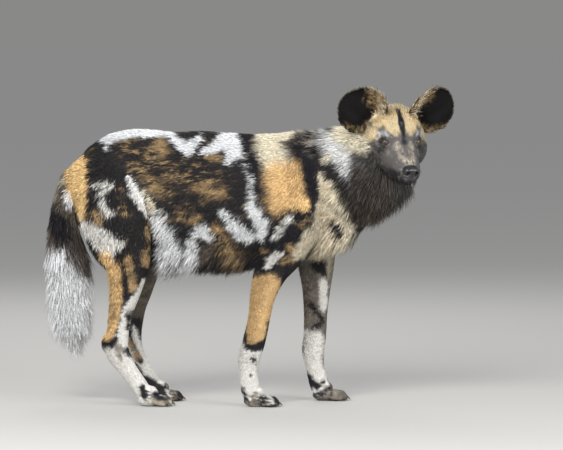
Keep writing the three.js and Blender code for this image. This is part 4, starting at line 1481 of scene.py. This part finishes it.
def ear_colour(points, u, v, inside):
    """Dark cups with some tan towards the root and the edge next to the crown, and a thin pale rim."""
    inner = linear("#080504")
    colour = np.where(inside[:, None] > 0.5, inner, BROWN * 0.7)
    fleck = 0.5 + 0.3 * noise(points, 12, 53) + 0.35 * noise(points, 4, 54) + 0.3 * noise(points, 2, 55)
    crown = smooth(0.25, -0.75, v) * smooth(1.0, 0.5, u)
    outward = smooth(0.55, 0.95, v) * smooth(0.9, 0.4, u) * 0.8
    root = np.maximum(np.maximum(smooth(0.35, 0.05, u), crown), outward)
    root = smooth(0.25, 0.8, root * 1.3 * fleck) * np.where(inside > 0.5, 0.8, 0.35)
    colour = mixed(colour, TAN * 0.75, root)
    colour = mixed(colour, SAND * 0.8, smooth(0.93, 1.0, np.abs(v)) * smooth(0.35, 0.8, fleck) * 0.55)
    return colour * (1 + 0.12 * noise(points, 8, 52)[:, None])


class WILDDOG_OT_whiskers(bpy.types.Operator):
    """Set the whiskers of the lips"""

    bl_idname = "wilddog.whiskers"
    bl_label = "Whiskers"

    def execute(self, context):
        random = np.random.default_rng(9)
        loft = Loft(HEAD, HEAD_PLACE)
        roots, flows, normals = [], [], []
        for s in (-1, 1):
            for row in range(4):
                for k in range(5):
                    t = np.array([0.66 + 0.05 * k])
                    angle = np.array([s * (1.75 + 0.16 * row)])
                    p = loft.point(t, angle, -1.0)[0]
                    middle = moved(loft.line(t), HEAD_PLACE)[0]
                    roots.append(p)
                    normals.append(unit(p - middle))
                    flows.append(turned(np.array([-0.7, s * 0.5, -0.25]), HEAD_PLACE))
        count = len(roots)
        length = 30 + 16 * random.random(count)
        lift_droop_half = np.full((count, 3), (0.5, 0.12, 0.28))
        look = np.column_stack([length, lift_droop_half, 0.1 * random.standard_normal(count)])
        uvs = 0.05 + 0.02 * random.random((count, 2))
        colours = np.tile(BLACK * 0.8, (count, 1))
        material = coat_material("Whisker", (90, 420, 240), 0.1)
        roots, normals, flows = np.array(roots), np.array(normals), np.array(flows)
        piece = tuft_mesh("whiskers", roots, normals, flows, look, colours, uvs, 2, material)
        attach(piece, "root")
        return {"FINISHED"}


class WILDDOG_OT_stage(bpy.types.Operator):
    """Set the floor, the lights and the camera"""

    bl_idname = "wilddog.stage"
    bl_label = "Stage"

    def execute(self, context):
        scene = context.scene
        floor_size = 200  # metres, so that its edge is out of sight
        bpy.ops.mesh.primitive_plane_add(size=floor_size, location=(0, 0, 0))
        floor = context.object
        floor.name = "floor"
        material, _, _, shader = principled("Floor", 0.9, Specular_IOR_Level=0.0)
        shader.inputs["Base Color"].default_value = (0.5, 0.49, 0.47, 1)
        floor.data.materials.append(material)
        for name, place, power, size in (
            ("Key", (-1.6, -4.2, 2.9), 320, 2.6),
            ("Front", (3.2, -3.2, 1.6), 130, 2.4),
            ("Back", (-0.5, 3.0, 3.0), 45, 2.6),
        ):
            light = bpy.data.lights.new(name, "AREA")
            light.energy = power
            light.size = size
            lamp = bpy.data.objects.new(name, light)
            lamp.location = place
            lamp.rotation_euler = (Vector((0, 0, 0.4)) - lamp.location).to_track_quat("-Z", "Y").to_euler()
            scene.collection.objects.link(lamp)
        world = bpy.data.worlds.new("Studio")
        world.use_nodes = True
        tree = world.node_tree
        sky = tree.nodes["Background"]
        sky.inputs["Color"].default_value = (0.8, 0.82, 0.85, 1)
        sky.inputs["Strength"].default_value = 0.62
        # The camera sees a grey like that of the far floor in place of the sky
        seen = tree.nodes.new("ShaderNodeBackground")
        seen.inputs["Color"].default_value = (0.25, 0.249, 0.246, 1)
        choice = tree.nodes.new("ShaderNodeMixShader")
        tree.links.new(tree.nodes.new("ShaderNodeLightPath").outputs["Is Camera Ray"], choice.inputs[0])
        tree.links.new(sky.outputs[0], choice.inputs[1])
        tree.links.new(seen.outputs[0], choice.inputs[2])
        tree.links.new(choice.outputs[0], tree.nodes["World Output"].inputs["Surface"])
        scene.world = world
        scene.view_settings.view_transform = "Standard"
        lens = bpy.data.cameras.new("Camera")
        camera = bpy.data.objects.new("Camera", lens)
        scene.collection.objects.link(camera)
        target = np.array([(VIEW[0] / 2 - ORIGIN[0]) * STEP, 0, (ORIGIN[1] - VIEW[1] / 2) * STEP])
        target = Vector((target + SHIFT) * MM)
        distance, rise, sensor = 10.0, math.radians(3), 36
        camera.location = target + Vector((0, -math.cos(rise), math.sin(rise))) * distance
        camera.rotation_euler = (target - camera.location).to_track_quat("-Z", "Y").to_euler()
        lens.sensor_width = sensor
        lens.lens = sensor * distance / (VIEW[0] * STEP * MM)
        lens.clip_end = 300
        scene.camera = camera
        return {"FINISHED"}


class WILDDOG_PT_panel(bpy.types.Panel):
    """The steps of the model, in order"""

    bl_idname = "WILDDOG_PT_panel"
    bl_label = "African Wild Dog"
    bl_space_type = "VIEW_3D"
    bl_region_type = "UI"
    bl_category = "Wild Dog"

    def draw(self, context):
        layout = self.layout
        scene = context.scene
        layout.prop(scene.wilddog_body, "voxel")
        layout.prop(scene.wilddog_body, "keep")
        layout.prop(scene.wilddog_body, "skin_colour")
        layout.prop(scene.wilddog_coat, "density")
        layout.prop(scene.wilddog_coat, "length")
        layout.prop(scene.wilddog_coat, "seed")
        layout.prop(scene.wilddog_eyes, "iris")
        for step in STEPS:
            layout.operator(step.bl_idname)


STEPS = (
    WILDDOG_OT_stage,
    WILDDOG_OT_skin,
    WILDDOG_OT_coat,
    WILDDOG_OT_eyes,
    WILDDOG_OT_nose,
    WILDDOG_OT_whiskers,
    WILDDOG_OT_ears,
    WILDDOG_OT_claws,
)
CLASSES = (WILDDOG_PG_body, WILDDOG_PG_coat, WILDDOG_PG_eyes, *STEPS, WILDDOG_PT_panel)


def register():
    for cls in CLASSES:
        bpy.utils.register_class(cls)
    bpy.types.Scene.wilddog_body = PointerProperty(type=WILDDOG_PG_body)
    bpy.types.Scene.wilddog_coat = PointerProperty(type=WILDDOG_PG_coat)
    bpy.types.Scene.wilddog_eyes = PointerProperty(type=WILDDOG_PG_eyes)


def unregister():
    del bpy.types.Scene.wilddog_eyes
    del bpy.types.Scene.wilddog_coat
    del bpy.types.Scene.wilddog_body
    for cls in reversed(CLASSES):
        bpy.utils.unregister_class(cls)


def main():
    register()
    bpy.ops.wilddog.stage()
    bpy.ops.wilddog.skin()
    bpy.ops.wilddog.coat()
    bpy.ops.wilddog.eyes()
    bpy.ops.wilddog.nose()
    bpy.ops.wilddog.whiskers()
    bpy.ops.wilddog.ears()
    bpy.ops.wilddog.claws()


if __name__ == "__main__":
    main()
